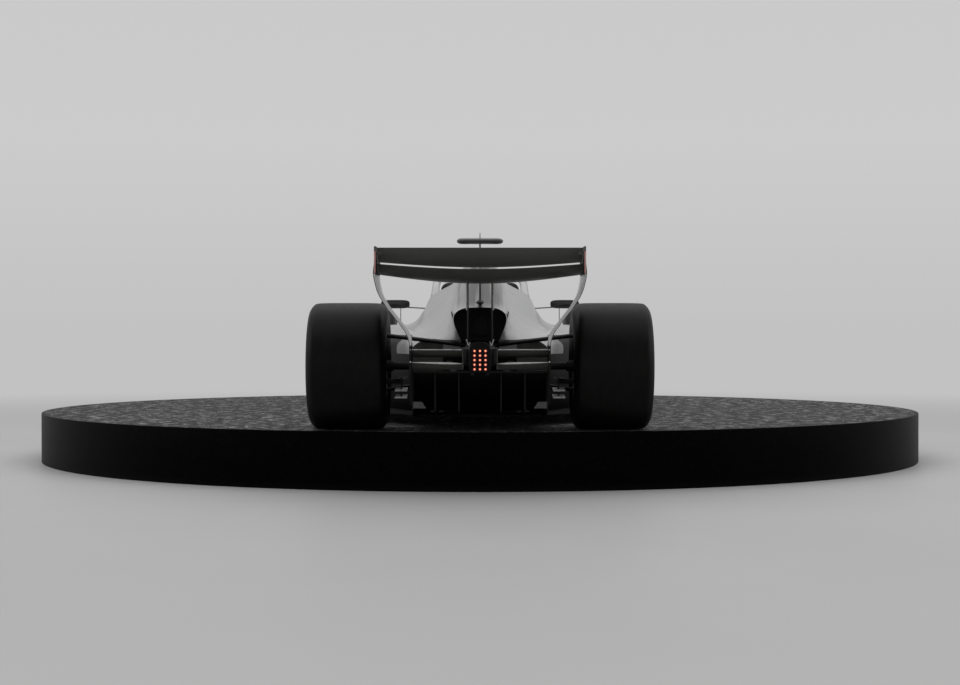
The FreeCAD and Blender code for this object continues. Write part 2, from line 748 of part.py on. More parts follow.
def track_rod_z():
    """Height of the track rod, resting on the steering arm."""
    return axle_height + STEERING_ARM_HEIGHT + STEERING_ARM_THICKNESS / 2 + SEAT_CLEARANCE + TRACK_ROD_RADIUS


def front_knuckle():
    """The steered upright with its arm, the arm's pin and the brake scoop."""
    inner = kingpin_x - UPRIGHT_THICKNESS / 2
    shape = upright(front_wheel_x, FRONT_RIM_WIDTH, inner, kingpin_x, WHEELBASE, BALL_JOINT_HEIGHT)
    z = axle_height + STEERING_ARM_HEIGHT
    tip = WHEELBASE + STEERING_ARM
    low, high = z - STEERING_ARM_THICKNESS / 2, z + STEERING_ARM_THICKNESS / 2
    arm = box(kingpin_x - 14, kingpin_x + 14, WHEELBASE + 30, tip + 14, low, high)
    pin = rod((kingpin_x, tip, z), (kingpin_x, tip, track_rod_z() + TRACK_ROD_RADIUS + 4), TRACK_ROD_PIN)
    return shape.fuse(arm).fuse(pin).fuse(tapered_scoop(inner, WHEELBASE))


def tapered_scoop(inner, y):
    """The cooling scoop on the upright's inner face, its mouth facing forward."""
    outer_box = box(inner - 34, inner + 6, y - 10, y + 92, axle_height - 96, axle_height - 16)
    mouth = box(inner - 28, inner, y + 20, y + 100, axle_height - 90, axle_height - 22)
    return outer_box.cut(mouth)


def rear_upright():
    """The fixed rear upright with its stack of small winglets."""
    inner = rear_wheel_x - REAR_UPRIGHT_INSET
    shape = upright(rear_wheel_x, REAR_RIM_WIDTH, inner, inner + 30, 0, REAR_UPPER_JOINT)
    x = rear_tyre_inner - VANE_REACH
    for z in VANE_HEIGHTS:
        vane = polygon_face([(x, -60, z - 6), (x, -60, z - 2), (x, -120, z + 4), (x, -190, z + 6),
                             (x, -190, z + 3), (x, -120, z - 3)]).extrude(vec(VANE_SPAN, 0, 0))
        shape = shape.fuse(vane)
    stay = box(x + 30, x + 36, -180, -70, VANE_HEIGHTS[0] - 8, VANE_HEIGHTS[2] + 8)
    link = box(x + 30, inner + 6, -100, -40, 262, 290)
    return shape.fuse(stay).fuse(link)


def track_rod():
    """The right track rod: eye over the arm's pin and inner end in the tub's side."""
    y = WHEELBASE + STEERING_ARM
    z = track_rod_z()
    bar = prism((TRACK_ROD_INNER, y, z), (kingpin_x, y, z), TRACK_ROD_RADIUS, TUBE_SIDES)
    low, high = (kingpin_x, y, z - TRACK_ROD_RADIUS), (kingpin_x, y, z + TRACK_ROD_RADIUS)
    eye = prism(low, high, TRACK_ROD_EYE, 12)
    hole = rod(low, high, TRACK_ROD_PIN + BEARING_CLEARANCE)
    return bar.fuse(eye).cut(hole)


def wishbone(outer, pick_ups, hull):
    """Two blades from the hull to the block that holds one ball joint, trimmed to the hull's skin."""
    half = BALL_JOINT_LENGTH / 2
    reach = BALL_JOINT_RADIUS
    x, y, z = outer
    shape = box(x - reach, x + reach, y - reach, y + reach, z - half, z + half)
    for point in pick_ups:
        shape = shape.fuse(blade(outer, point, ARM_CHORD, ARM_THICKNESS))
    return biggest(shape.cut(hull))


def front_suspension(hull):
    """Upper and lower wishbones and the pushrod of the right front corner."""
    y = WHEELBASE
    upper = (kingpin_x, y, axle_height + BALL_JOINT_HEIGHT)
    lower = (kingpin_x, y, axle_height - BALL_JOINT_HEIGHT)
    upper_arm = wishbone(upper, [(90, y + 90, 545), (110, y - 400, 590)], hull)
    lower_arm = wishbone(lower, [(70, y + 120, 300), (90, y - 420, 300)], hull)
    push = blade((kingpin_x - 75, y + 8, lower[2]), (90, y - 130, 560), 34, 20)
    push = biggest(push.cut(hull).cut(lower_arm).cut(upper_arm))
    return Part.makeCompound([upper_arm, lower_arm, push])


def rear_suspension(hull):
    """Wishbones, driveshaft and pull rod of the right rear corner."""
    inner = rear_wheel_x - REAR_UPRIGHT_INSET
    upper = (inner + 30, 0, axle_height + REAR_UPPER_JOINT)
    lower = (inner + 30, 0, axle_height - BALL_JOINT_HEIGHT)
    upper_arm = wishbone(upper, [(60, 40, 476), (60, 430, 474)], hull)
    lower_arm = wishbone(lower, [(60, 30, 300), (60, 450, 250)], hull)
    joint = (inner - SEAT_CLEARANCE, 0, axle_height)
    shaft = prism((40, 0, axle_height), joint, DRIVESHAFT_RADIUS, TUBE_SIDES)
    shaft = biggest(shaft.cut(hull))
    return Part.makeCompound([upper_arm, lower_arm, shaft])


def halo():
    """The cockpit's guard: a hoop round the head on one centre pillar and two rear feet."""
    half = [(300, COCKPIT_REAR + 40, 790), (296, COCKPIT_REAR + 140, HALO_TOP - 67),
            (285, COCKPIT_REAR + 300, HALO_TOP - 20), (235, COCKPIT_FRONT - 250, HALO_TOP),
            (120, COCKPIT_FRONT - 60, HALO_TOP), (0, COCKPIT_FRONT - 20, HALO_TOP - 3)]
    path = half + [(-x, y, z) for x, y, z in reversed(half[:-1])]
    hoop = swept_tube(path, HALO_RADIUS, HALO_STATIONS)
    pillar = blade((0, COCKPIT_FRONT - 35, HALO_TOP - 3), (0, COCKPIT_FRONT + 110, 640), 60, 24)
    return hoop.fuse(pillar).cut(tub_skin)


def headrest():
    """The padded collar round the driver's head, raised behind each shoulder between halo and roll hoop."""
    outer = box(-BEYOND, BEYOND, COCKPIT_REAR, COCKPIT_REAR + 400, 690, 770)
    head_room = box(-HEAD_ROOM, HEAD_ROOM, COCKPIT_REAR + 145, COCKPIT_REAR + 440, 600, 900)
    collar = outer.cut(head_room).common(cockpit_cutter())
    side = [(COVER_FRONT + 12, 740), (COVER_FRONT + 12, 868), (COCKPIT_REAR - 20, 880),
            (COCKPIT_REAR + 40, 864), (COCKPIT_REAR + 100, 800), (COCKPIT_REAR + 130, 730)]
    shoulder = polygon_face([(HEAD_ROOM, y, z) for y, z in side]).extrude(vec(SHOULDER_WIDTH, 0, 0))
    shoulder = shoulder.cut(monocoque())
    pads = max(shoulder.Solids, key=lambda s: s.BoundBox.ZMax)
    return collar.fuse(pads).fuse(mirrored(pads)).removeSplitter()


def seat():
    """The moulded seat, reclined, with raised bolsters."""
    side = [(0, 1830, 640), (0, 1800, 640), (0, 1960, 130), (0, 2560, 112), (0, 2620, 190), (0, 2560, 150),
            (0, 2040, 170)]
    base = polygon_face(side).extrude(vec(330, 0, 0)).translated(vec(-165, 0, 0))
    bolster = [(0, 1830, 560), (0, 1860, 560), (0, 2100, 300), (0, 2480, 250), (0, 2540, 160), (0, 2000, 150)]
    wall = polygon_face(bolster).extrude(vec(34, 0, 0))
    shape = base.fuse(wall.translated(vec(-199, 0, 0))).fuse(wall.translated(vec(165, 0, 0)))
    return biggest(shape.cut(monocoque()))


def steering_column(radius):
    """The column from the wheel down through the dash bulkhead."""
    tilt = math.radians(WHEEL_TILT)
    end_y = WHEEL_Y + COLUMN_LENGTH * math.cos(tilt)
    end_z = WHEEL_Z - COLUMN_LENGTH * math.sin(tilt)
    return prism((0, WHEEL_Y, WHEEL_Z), (0, end_y, end_z), radius, TUBE_SIDES)


def steering_wheel():
    """A flat-topped wheel with open grips, on its column."""
    plate = box(-85, 85, -14, 14, -45, 62)
    grip = box(85, 140, -15, 15, -62, 66)
    hole = box(84, 112, -20, 20, -34, 34)
    shape = plate.fuse(grip.cut(hole)).fuse(mirrored(grip.cut(hole)))
    wheel = shape.rotated(vec(0, 0, 0), vec(1, 0, 0), -WHEEL_TILT).translated(vec(0, WHEEL_Y, WHEEL_Z))
    return wheel.fuse(steering_column(COLUMN_RADIUS))


def mirror():
    """The right mirror: rounded housing on a stalk to the cockpit side and a stay to the sidepod."""
    back, front = MIRROR_Y - 28, MIRROR_Y + 40
    middle = (MIRROR_INNER + MIRROR_OUTER) / 2
    half = (MIRROR_OUTER - MIRROR_INNER) / 2
    rings = []
    for y, shrink in ((back, 0), (MIRROR_Y + 15, 0), (front, 16)):
        w, h, cut = half - shrink, 29 - shrink * 0.7, 10
        corners = [(-w, -h + cut), (-w + cut, -h), (w - cut, -h), (w, -h + cut), (w, h - cut), (w - cut, h),
                   (-w + cut, h), (-w, h - cut)]
        rings.append([(middle + x, y, MIRROR_HEIGHT + z) for x, z in corners])
    glass = box(MIRROR_INNER + 8, MIRROR_OUTER - 8, back, back + 4, MIRROR_HEIGHT - 21, MIRROR_HEIGHT + 21)
    low = MIRROR_HEIGHT - 29
    stalk = blade((MIRROR_INNER + 12, MIRROR_Y, low + 8), (250, MIRROR_Y - 10, low - 6), 30, 9)
    stay = blade((MIRROR_INNER + 62, MIRROR_Y + 4, low + 4), (MIRROR_INNER + 62, MIRROR_Y - 20, 560), 22, 6)
    shape = loft(rings).cut(glass).fuse(stalk).fuse(stay)
    return biggest(shape.cut(tub_skin).cut(cover_skin).cut(sidepod_skin))


def camera_pod():
    """The pod on the roll hoop, on a short stem, with the thin mast above it."""
    rings = []
    for x, radius in ((-1.0, 8), (-0.9, 20), (0.9, 20), (1.0, 8)):
        corners = []
        for k in range(TUBE_SIDES):
            turn = 2 * math.pi * (k + 0.5) / TUBE_SIDES
            y = POD_Y + 1.5 * radius * math.cos(turn)
            corners.append((x * POD_HALF_WIDTH, y, POD_HEIGHT + radius * math.sin(turn)))
        rings.append(corners)
    stem = blade((0, POD_Y, POD_HEIGHT), (0, POD_Y + 20, 1030), 56, 14)
    mast = prism((0, POD_Y, POD_HEIGHT), (0, POD_Y, POD_HEIGHT + MAST_HEIGHT), 4, TUBE_SIDES)
    return loft(rings).fuse(stem).fuse(mast).cut(cover_skin)


def shark_fin():
    """The thin fin along the cover's spine, with a diamond shaped tail fairing above the exit."""
    side = [(1200, 900), (1200, 1016), (300, 905), (-40, 850), (-70, 700), (-20, 690)]
    blade_plate = polygon_face([(-3, y, z) for y, z in side]).extrude(vec(6, 0, 0))
    rings = []
    for y, size in ((20, 4), (-50, 24), (-96, 6)):
        rings.append([(0, y, 722 + 0.8 * size), (size, y, 722), (0, y, 722 - 0.8 * size), (-size, y, 722)])
    return blade_plate.fuse(loft(rings))


def plinth():
    """The round display plinth, with the top that the tyres stand on."""
    corners = []
    for k in range(PLINTH_SIDES):
        turn = 2 * math.pi * k / PLINTH_SIDES
        corners.append((PLINTH_RADIUS * math.sin(turn), PLINTH_RADIUS * math.cos(turn), 0))
    return polygon_face(corners).extrude(vec(0, 0, PLINTH_HEIGHT))


tub_skin = loft(tub_sections(0))
cover_skin = loft(cover_rings(0))
sidepod_skin = loft(sidepod_rings(0))
on_plinth = vec(0, REAR_AXLE_TO_EDGE - PLINTH_RADIUS, PLINTH_HEIGHT)
parts = {"plinth": plinth()}


def place(name, shape):
    """Moves a piece of the car from the car's own frame onto the plinth."""
    parts[name] = shape.translated(on_plinth)


front_hull = tub_skin.fuse(nose_cone())
rear_hull = gearbox().fuse(engine()).fuse(diffuser()).fuse(sidepod()).fuse(engine_cover())
place("monocoque", monocoque())
place("nose_cone", nose_cone())
place("front_wing", front_wing())
place("front_wing_endplates", both_sides(front_endplate()))
place("halo", halo())
place("headrest", headrest())
place("seat", seat())
place("steering_wheel", steering_wheel())
place("engine_cover", engine_cover())
place("sidepod_right", sidepod())
place("sidepod_left", mirrored(sidepod()))
place("floor", floor())
place("plank", plank())
place("diffuser", diffuser())
place("engine", engine())
place("gearbox", gearbox())
place("exhaust", exhaust())
place("rain_light", rain_light())
place("rear_wing_main", rear_wing_main())
place("rear_wing_flap", rear_wing_flap())
place("rear_wing_endplates", both_sides(rear_endplate()))
place("rear_wing_pylons", pylons())
place("beam_wing", beam_wing())
place("mirrors", both_sides(mirror()))
place("camera_pod", camera_pod())
front_corner = (front_suspension(front_hull), front_knuckle())
rear_corner = (rear_suspension(rear_hull), rear_upright())
corners = (
    ("front", WHEELBASE, front_wheel_x, FRONT_TYRE_WIDTH, FRONT_RIM_WIDTH, front_corner),
    ("rear", 0.0, rear_wheel_x, REAR_TYRE_WIDTH, REAR_RIM_WIDTH, rear_corner),
)
for end, wheel_y, wheel_x, tyre_width, rim_width, (arms, knuckle) in corners:
    for side, sign in (("right", 1), ("left", -1)):
        hub = vec(sign * wheel_x, wheel_y, axle_height)
        place("rim_" + end + "_" + side, rim(rim_width, sign).translated(hub))
        place("tyre_" + end + "_" + side, tyre(tyre_width, rim_width).translated(hub))
        place(end + "_suspension_" + side, arms if sign == 1 else mirrored(arms))
        place(end + "_upright_" + side, knuckle if sign == 1 else mirrored(knuckle))
place("track_rod_right", track_rod())
place("track_rod_left", mirrored(track_rod()))

os.makedirs("parts", exist_ok=True)
for name, shape in parts.items():
    shape.exportStep("parts/" + name + ".step")
    print(name, len(shape.Solids), shape.isValid(), round(shape.Volume / 1e6, 3))
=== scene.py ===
import json
import math

import bmesh
import bpy
import numpy as np
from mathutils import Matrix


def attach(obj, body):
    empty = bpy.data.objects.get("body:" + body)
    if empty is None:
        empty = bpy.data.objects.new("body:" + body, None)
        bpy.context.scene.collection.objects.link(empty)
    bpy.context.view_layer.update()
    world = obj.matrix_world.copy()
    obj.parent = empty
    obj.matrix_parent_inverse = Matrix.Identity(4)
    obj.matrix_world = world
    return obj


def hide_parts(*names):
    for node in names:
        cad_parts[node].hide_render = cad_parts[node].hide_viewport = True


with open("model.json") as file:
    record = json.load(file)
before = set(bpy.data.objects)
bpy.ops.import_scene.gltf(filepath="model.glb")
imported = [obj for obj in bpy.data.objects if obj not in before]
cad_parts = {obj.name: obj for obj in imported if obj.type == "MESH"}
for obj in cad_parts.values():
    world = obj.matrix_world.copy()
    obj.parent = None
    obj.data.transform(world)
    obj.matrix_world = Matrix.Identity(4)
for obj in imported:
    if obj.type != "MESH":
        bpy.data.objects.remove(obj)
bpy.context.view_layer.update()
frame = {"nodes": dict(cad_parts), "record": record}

# Open wheel racing car on its display plinth, in metres.
# X is to the right as seen from behind, Y points to the nose and Z is up, with zero on the
# floor under the plinth's centre. CAR_Y and CAR_Z bring the car's own frame onto the plinth.

CAR_Y = -2.72
CAR_Z = 0.33

# In the car's own millimetres, zero on the ground under the rear axle's middle: the axles'
# height, their spacing and the half spans of both wings.
AXLE = 360.3
WHEELBASE = 3600.0
REAR_SPAN = 560.0
FRONT_SPAN = 950.0
SIDES = (("right", 1), ("left", -1))


class Wire:
    """A value or colour on its way through a material, usable in plain arithmetic."""

    def __init__(self, finish, socket):
        self.finish = finish
        self.socket = socket

    def math(self, operation, *others):
        return self.finish.node("ShaderNodeMath", {"operation": operation}, dict(enumerate((self,) + others)))

    def __add__(self, other):
        return self.math("ADD", other)

    def __sub__(self, other):
        return self.math("SUBTRACT", other)

    def __rsub__(self, other):
        return self.finish.node("ShaderNodeMath", {"operation": "SUBTRACT"}, {0: other, 1: self})

    def __mul__(self, other):
        return self.math("MULTIPLY", other)

    def __truediv__(self, other):
        return self.math("DIVIDE", other)

    def __mod__(self, other):
        return self.math("FLOORED_MODULO", other)

    def __lt__(self, other):
        return self.math("LESS_THAN", other)

    def __gt__(self, other):
        return self.math("GREATER_THAN", other)

    __radd__ = __add__
    __rmul__ = __mul__

    def floor(self):
        return self.math("FLOOR")

    def fract(self):
        return self.math("FRACT")

    def sine(self):
        return self.math("SINE")

    def size(self):
        return self.math("ABSOLUTE")

    def largest(self, other):
        return self.math("MAXIMUM", other)

    def smooth(self, low, high):
        """0 below low, 1 above high and smooth between."""
        return self.finish.node("ShaderNodeMapRange", {"interpolation_type": "SMOOTHSTEP"},
                                {"Value": self, "From Min": low, "From Max": high})


def grey(level):
    return level, level, level


class Finish:
    """The nodes of one material, or of the world: node() adds one and close() ends the tree."""

    def __init__(self, name, owner="materials", reads="Object"):
        self.made = getattr(bpy.data, owner).new(name)
        self.made.use_nodes = True
        self.tree = self.made.node_tree
        self.tree.nodes.clear()
        self.place = self.node("ShaderNodeTexCoord", {}, {}, reads)
        self.x, self.y, self.z = self.split(self.place)

    def node(self, kind, settings, inputs, output=0):
        """Adds a node; output names the socket that is handed back, or None for the node itself."""
        made = self.tree.nodes.new(kind)
        for key, value in settings.items():
            if key == "stops":
                self.set_stops(made.color_ramp, value)
            else:
                setattr(made, key, value)
        for key, value in inputs.items():
            if isinstance(value, Wire):
                self.tree.links.new(value.socket, made.inputs[key])
            else:
                made.inputs[key].default_value = value
        return made if output is None else Wire(self, made.outputs[output])

    @staticmethod
    def set_stops(ramp, stops):
        while len(ramp.elements) < len(stops):
            ramp.elements.new(1.0)
        for element, (position, level) in zip(ramp.elements, stops):
            element.position = position
            element.color = (*grey(level), 1.0)

    def split(self, vector):
        """The three parts of a vector."""
        parts = self.node("ShaderNodeSeparateXYZ", {}, {0: vector}, None)
        return [Wire(self, parts.outputs[i]) for i in range(3)]

    def facing_up(self, limit):
        """1 where the surface's normal leans to straight up or down by more than the limit."""
        return self.split(self.node("ShaderNodeNewGeometry", {}, {}, "Normal"))[2].size() > limit

    def seen(self):
        """1 for what the camera, gloss or glass shows, and 0 for light on its way to a surface."""
        path = self.node("ShaderNodeLightPath", {}, {}, None)
        camera, gloss, glass = (Wire(self, path.outputs[name])
                                for name in ("Is Camera Ray", "Is Glossy Ray", "Is Transmission Ray"))
        return camera.largest(gloss).largest(glass)

    def noise(self, scale, detail=4.0, rough=0.55, stretch=None):
        where = self.place
        if stretch:
            where = self.node("ShaderNodeMapping", {}, {"Vector": where, "Scale": stretch})
        return self.node("ShaderNodeTexNoise", {},
                         {"Vector": where, "Scale": scale, "Detail": detail, "Roughness": rough})

    def cells(self, scale):
        """Distance to the middle of the nearest of many scattered grains."""
        return self.node("ShaderNodeTexVoronoi", {}, {"Vector": self.place, "Scale": scale})

    def grains(self, scale):
        """One random value for each of the same grains."""
        colour = self.node("ShaderNodeTexVoronoi", {}, {"Vector": self.place, "Scale": scale}, "Color")
        return self.node("ShaderNodeSeparateColor", {}, {0: colour})

    def blend(self, share, first, second):
        """The first colour where share is 0 and the second where it is 1."""
        first, second = ((*c, 1.0) if isinstance(c, tuple) else c for c in (first, second))
        return self.node("ShaderNodeMix", {"data_type": "RGBA"}, {0: share, 6: first, 7: second}, 2)

    def mix(self, share, first, second):
        """The same for two shaders."""
        return self.node("ShaderNodeMixShader", {}, {0: share, 1: first, 2: second})

    def bump(self, height, depth, strength=1.0, under=None):
        inputs = {"Height": height, "Distance": depth, "Strength": strength}
        if under:
            inputs["Normal"] = under
        return self.node("ShaderNodeBump", {}, inputs)

    def shader(self, **inputs):
        """A principled shader; underscores in the names stand for spaces."""
        named = {key.replace("_", " "): value for key, value in inputs.items()}
        if isinstance(named["Base Color"], tuple):
            named["Base Color"] = (*named["Base Color"], 1.0)
        return self.node("ShaderNodeBsdfPrincipled", {}, named)

    def close(self, shader, kind="Material"):
        self.node("ShaderNodeOutput" + kind, {}, {"Surface": shader}, None)
        return self.made

    def surface(self, **inputs):
        return self.close(self.shader(**inputs))


# The finishes. Heights and lengths along the car are in metres in the car's own frame.

PANEL_STATIONS = (3.7503, 2.62, 1.452, 0.905, 0.31)
FASTENER_SPACING = 0.085
FASTENER_SETBACK = 0.016
TOW_WIDTH = 0.0045
THREAD_TURNS = 1800.0


def silver_finish(name, tones, jointed=False):
    """Satin silver over fine flake under a clear coat; below a falling line the flanks stay bare laminate.

    Jointed bodywork also has hairline joints at fixed stations, with a row of flush fasteners beside each.
    """
    f = Finish(name)
    height, along_car, side = f.z - CAR_Z, f.y - CAR_Y, f.x.size()
    cloud, flake, dust = f.noise(1.3, 3.0), f.noise(900.0, 2.0), f.noise(38.0, 6.0)
    paint = f.blend(cloud.smooth(0.3, 0.7), *((t, t, t * 1.005) for t in tones))
    # painted reflections: drawn out dark streaks along the spine's top
    streak = f.noise(30.0, 1.0, stretch=(1.0, 0.02, 0.02)).smooth(0.42, 0.56)
    spine = (1.0 - side.smooth(0.120, 0.150)) * height.smooth(0.66, 0.73) * (1.0 - along_car.smooth(1.2, 1.6))
    paint = f.blend(spine * (0.48 + 0.50 * streak), paint, grey(0.030))
    # painted shade, mottled, on the pods' tails low down beside the rear wheels
    tail_shade = (1.0 - along_car.smooth(0.45, 0.70)) * side.smooth(0.40, 0.45)
    tail_shade = tail_shade * (1.0 - height.smooth(0.50, 0.535))
    paint = f.blend(tail_shade * (0.55 + 0.35 * dust), paint, (0.035, 0.035, 0.034))
    relief = f.bump(flake, 0.0002, 0.10)
    if jointed:
        line, pin = panel_joints(f, along_car)
        paint = f.blend(line, paint, grey(0.010))
        paint = f.blend(pin, paint, (0.06, 0.06, 0.062))
        relief = f.bump(1.0 - line, 0.001, 0.5, relief)
    coat = f.shader(Base_Color=paint, Metallic=0.60, Roughness=0.30 + 0.08 * dust + 0.04 * flake,
                    Coat_Weight=0.22, Coat_Roughness=0.10, Normal=relief)
    warp, tow = weave(f)
    bare = f.blend(warp, grey(0.0030), grey(0.0075))
    flank = f.shader(Base_Color=bare, Roughness=0.44 + 0.1 * dust, Specular_IOR_Level=0.12,
                     Normal=f.bump(tow, 0.0003, 0.2))
    # the line: high along the pods, lower round their tails and on the hull, and down to the nose's belly
    tails = 1.0 - along_car.smooth(0.44, 0.475)
    outboard = side.smooth(0.335, 0.345) * 0.90 + side.smooth(0.40, 0.41) * 0.10
    border = 0.452 + outboard * (0.084 - 0.110 * tails)
    border = border - 0.03 * (along_car - 1.0).smooth(0.0, 2.5) - 0.33 * (along_car - 2.4).smooth(0.0, 1.6)
    border = border - 0.04 * (1.0 - along_car.smooth(0.0, 0.3))
    return f.close(f.mix(height.smooth(border - 0.002, border + 0.002), flank, coat))


def panel_joints(f, along_car):
    """Two masks: 1 within a millimetre of a panel's end, and 1 on the round fasteners just behind it."""
    upward = f.facing_up(0.7)
    across = (f.x * upward + f.z * (1.0 - upward)) / FASTENER_SPACING
    row = (across.fract() - 0.5) * (across.fract() - 0.5)
    line = pin = None
    for station in PANEL_STATIONS:
        gap = 1.0 - (along_car - station).size().smooth(0.0006, 0.0016)
        away = (along_car - (station - FASTENER_SETBACK)) / FASTENER_SPACING
        disc = 1.0 - (row + away * away).smooth(0.0022, 0.0032)
        line = line.largest(gap) if line else gap
        pin = pin.largest(disc) if pin else disc
    return line, pin


def weave(f):
    """Two by two twill: 1 where the warp lies on top, with the height of the rounded tows."""
    upward = f.facing_up(0.65)
    u = (f.x + f.y * (1.0 - upward) * 0.83) / TOW_WIDTH
    v = (f.y * upward + f.z * (1.0 - upward)) / TOW_WIDTH
    warp = ((u.floor() + v.floor()) % 4.0) < 2.0
    tow_u, tow_v = ((w.fract() - 0.5).size() for w in (u, v))
    return warp, warp * (1.0 - tow_u * 1.6) + (1.0 - warp) * (0.85 - tow_v * 1.6)


def carbon_finish(name, rough, coat, sheen, dark, light):
    """Carbon laminate: twill weave under resin, faint clouds of handling marks."""
    f = Finish(name)
    warp, height = weave(f)
    haze = f.noise(6.0, 5.0)
    return f.surface(Base_Color=f.blend(warp * 0.7 + haze * 0.3, dark, light), Coat_Weight=coat,
                     Coat_Roughness=0.10, Roughness=rough + 0.14 * haze + 0.05 * warp,
                     Specular_IOR_Level=sheen, Normal=f.bump(height, 0.0003, 0.25))


def tyre_finish():
    """Slick rubber: the tread scuffed by drawn out wear marks and grains of pick-up, the walls cleaner."""
    f = Finish("tyre")
    scuff = f.noise(14.0, 6.0, stretch=(3.0, 1.0, 1.0))
    worn = scuff * 0.7 + f.noise(3.0, 3.0) * 0.3
    specks = (1.0 - f.cells(140.0)).smooth(0.80, 0.95)
    colour = f.blend(worn.smooth(0.4, 0.7), (0.0024, 0.0022, 0.0020), (0.0052, 0.0048, 0.0044))
    return f.surface(Base_Color=colour, Roughness=0.34 + 0.20 * scuff, Specular_IOR_Level=0.10,
                     Normal=f.bump(f.noise(420.0, 3.0) + 0.6 * scuff + 0.4 * specks, 0.0006, 0.30))


def metal_finish(name, colour, rough, fine=300.0):
    """Machined or cast metal with fine marks and slight stains."""
    f = Finish(name)
    marks = f.noise(fine, 4.0, stretch=(1.0, 6.0, 1.0))
    darker = tuple(c * 0.72 for c in colour)
    return f.surface(Base_Color=f.blend(f.noise(9.0, 5.0).smooth(0.3, 0.7), darker, colour), Metallic=0.9,
                     Roughness=rough + 0.16 * marks, Normal=f.bump(marks, 0.0004, 0.2))


def exhaust_finish():
    """Thin steel, near black at its mouth and straw coloured further in."""
    f = Finish("exhaust_metal")
    heat = (f.y - CAR_Y - 0.05).smooth(0.02, 0.45)
    streak = f.noise(40.0, 4.0)
    colour = f.blend(heat + 0.15 * streak - 0.05, (0.012, 0.011, 0.010), (0.30, 0.22, 0.15))
    return f.surface(Base_Color=colour, Metallic=0.85, Roughness=0.42 + 0.3 * streak)


def lamp_housing_finish():
    """Black lacquer with hairline swirls and a little dust."""
    f = Finish("lamp_black")
    dust = f.noise(500.0, 2.0).smooth(0.62, 0.78)
    colour = f.blend(dust * 0.5, (0.0022, 0.0022, 0.00231), grey(0.00572))
    return f.surface(Base_Color=colour, Roughness=0.42 + 0.07 * f.noise(120.0, 6.0) + 0.2 * dust,
                     Specular_IOR_Level=0.10)


def stone_top_finish():
    """Open grained black stone: grains from black to pale grey, pits, and honed tops that catch the light."""
    f = Finish("deck_stone")
    fine, coarse, grit = f.grains(80.0), f.noise(12.0, 9.0, 0.80), f.noise(240.0, 5.0)
    pale = fine.smooth(0.50, 1.0) * 0.30 + coarse.smooth(0.515, 0.59) * 0.85
    colour = f.blend(pale, grey(0.004), (0.235, 0.235, 0.231))
    trodden = f.noise(1.4, 5.0).smooth(0.42, 0.62) * 0.45
    honed = coarse.smooth(0.52, 0.57) * (0.60 + 0.40 * fine)
    height = (1.0 - f.cells(80.0)) + 0.5 * grit + 0.8 * coarse
    return f.surface(Base_Color=f.blend(trodden, colour, (0.024, 0.024, 0.0235)), Specular_IOR_Level=0.45,
                     Roughness=0.96 - 0.68 * honed + 0.1 * grit, Normal=f.bump(height, 0.006, 0.9))


def stone_side_finish():
    """The same stone honed and oiled almost black: buried grains and a little dust at its foot."""
    f = Finish("deck_stone_side")
    grit = f.noise(180.0, 5.0)
    foot = 1.0 - f.z.smooth(0.0, 0.05)
    colour = f.blend(f.grains(110.0).smooth(0.82, 1.0), grey(0.0006), (0.0028, 0.0028, 0.0027))
    return f.surface(Base_Color=f.blend(foot * grit * 0.5, colour, grey(0.012)), Roughness=0.34 + 0.16 * grit,
                     Specular_IOR_Level=0.02, Normal=f.bump(grit, 0.0008, 0.15))


def padding_finish():
    """Woven cover of the seat pads and head rest: two crossing sets of threads, paler where it has worn."""
    f = Finish("padding")
    worn = f.noise(14.0, 5.0)
    across, lengthwise = (((w + f.y) * THREAD_TURNS).sine() for w in (f.x, f.z))
    colour = f.blend(worn.smooth(0.3, 0.8), (0.010, 0.010, 0.011), (0.024, 0.024, 0.027))
    return f.surface(Base_Color=colour, Roughness=0.85 + 0.1 * worn, Specular_IOR_Level=0.25,
                     Normal=f.bump(across * lengthwise, 0.0004, 0.4))


def webbing_finish():
    """Harness webbing with ribs across the strap."""
    f = Finish("webbing")
    worn = f.noise(60.0, 4.0)
    colour = f.blend(worn.smooth(0.3, 0.8), (0.07, 0.07, 0.075), (0.14, 0.14, 0.15))
    return f.surface(Base_Color=colour, Roughness=0.75 + 0.1 * worn,
                     Normal=f.bump(((f.y + f.z) * 2600.0).sine(), 0.0004, 0.5))


def wood_finish():
    """Compressed laminate of the skid plank, striped along its length and scraped."""
    f = Finish("plank_wood")
    strata = f.noise(30.0, 6.0, stretch=(6.0, 0.4, 20.0))
    colour = f.blend(strata.smooth(0.3, 0.7), (0.030, 0.022, 0.015), (0.085, 0.060, 0.038))
    return f.surface(Base_Color=colour, Roughness=0.6 + 0.2 * strata, Normal=f.bump(strata, 0.001, 0.3))


def mirror_finish():
    """Dark tinted glass with a breath of haze."""
    f = Finish("mirror_glass")
    haze = f.noise(30.0, 4.0)
    return f.surface(Base_Color=f.blend(haze, (0.018, 0.019, 0.020), (0.034, 0.035, 0.037)), Metallic=0.3,
                     Roughness=0.05 + 0.06 * haze)


def lamp_finish(name, dark, bright, strength):
    """Lit lenses: ribbed plastic, brighter on the ribs."""
    f = Finish(name)
    ribs = (f.z * 1400.0).sine() * 0.5 + 0.5
    colour = f.blend(ribs, dark, bright)
    return f.surface(Base_Color=colour, Roughness=0.25 + 0.1 * ribs, Emission_Color=colour,
                     Emission_Strength=strength)


def pale_finish():
    """Light satin paint of the small trims, thinner and greyer where it has worn."""
    f = Finish("pale_trim")
    worn = f.noise(55.0, 6.0)
    colour = f.blend(worn.smooth(0.5, 0.72), (0.62, 0.62, 0.61), grey(0.36))
    return f.surface(Base_Color=colour, Roughness=0.36 + 0.2 * worn,
                     Normal=f.bump(f.noise(400.0, 3.0), 0.0002, 0.2))


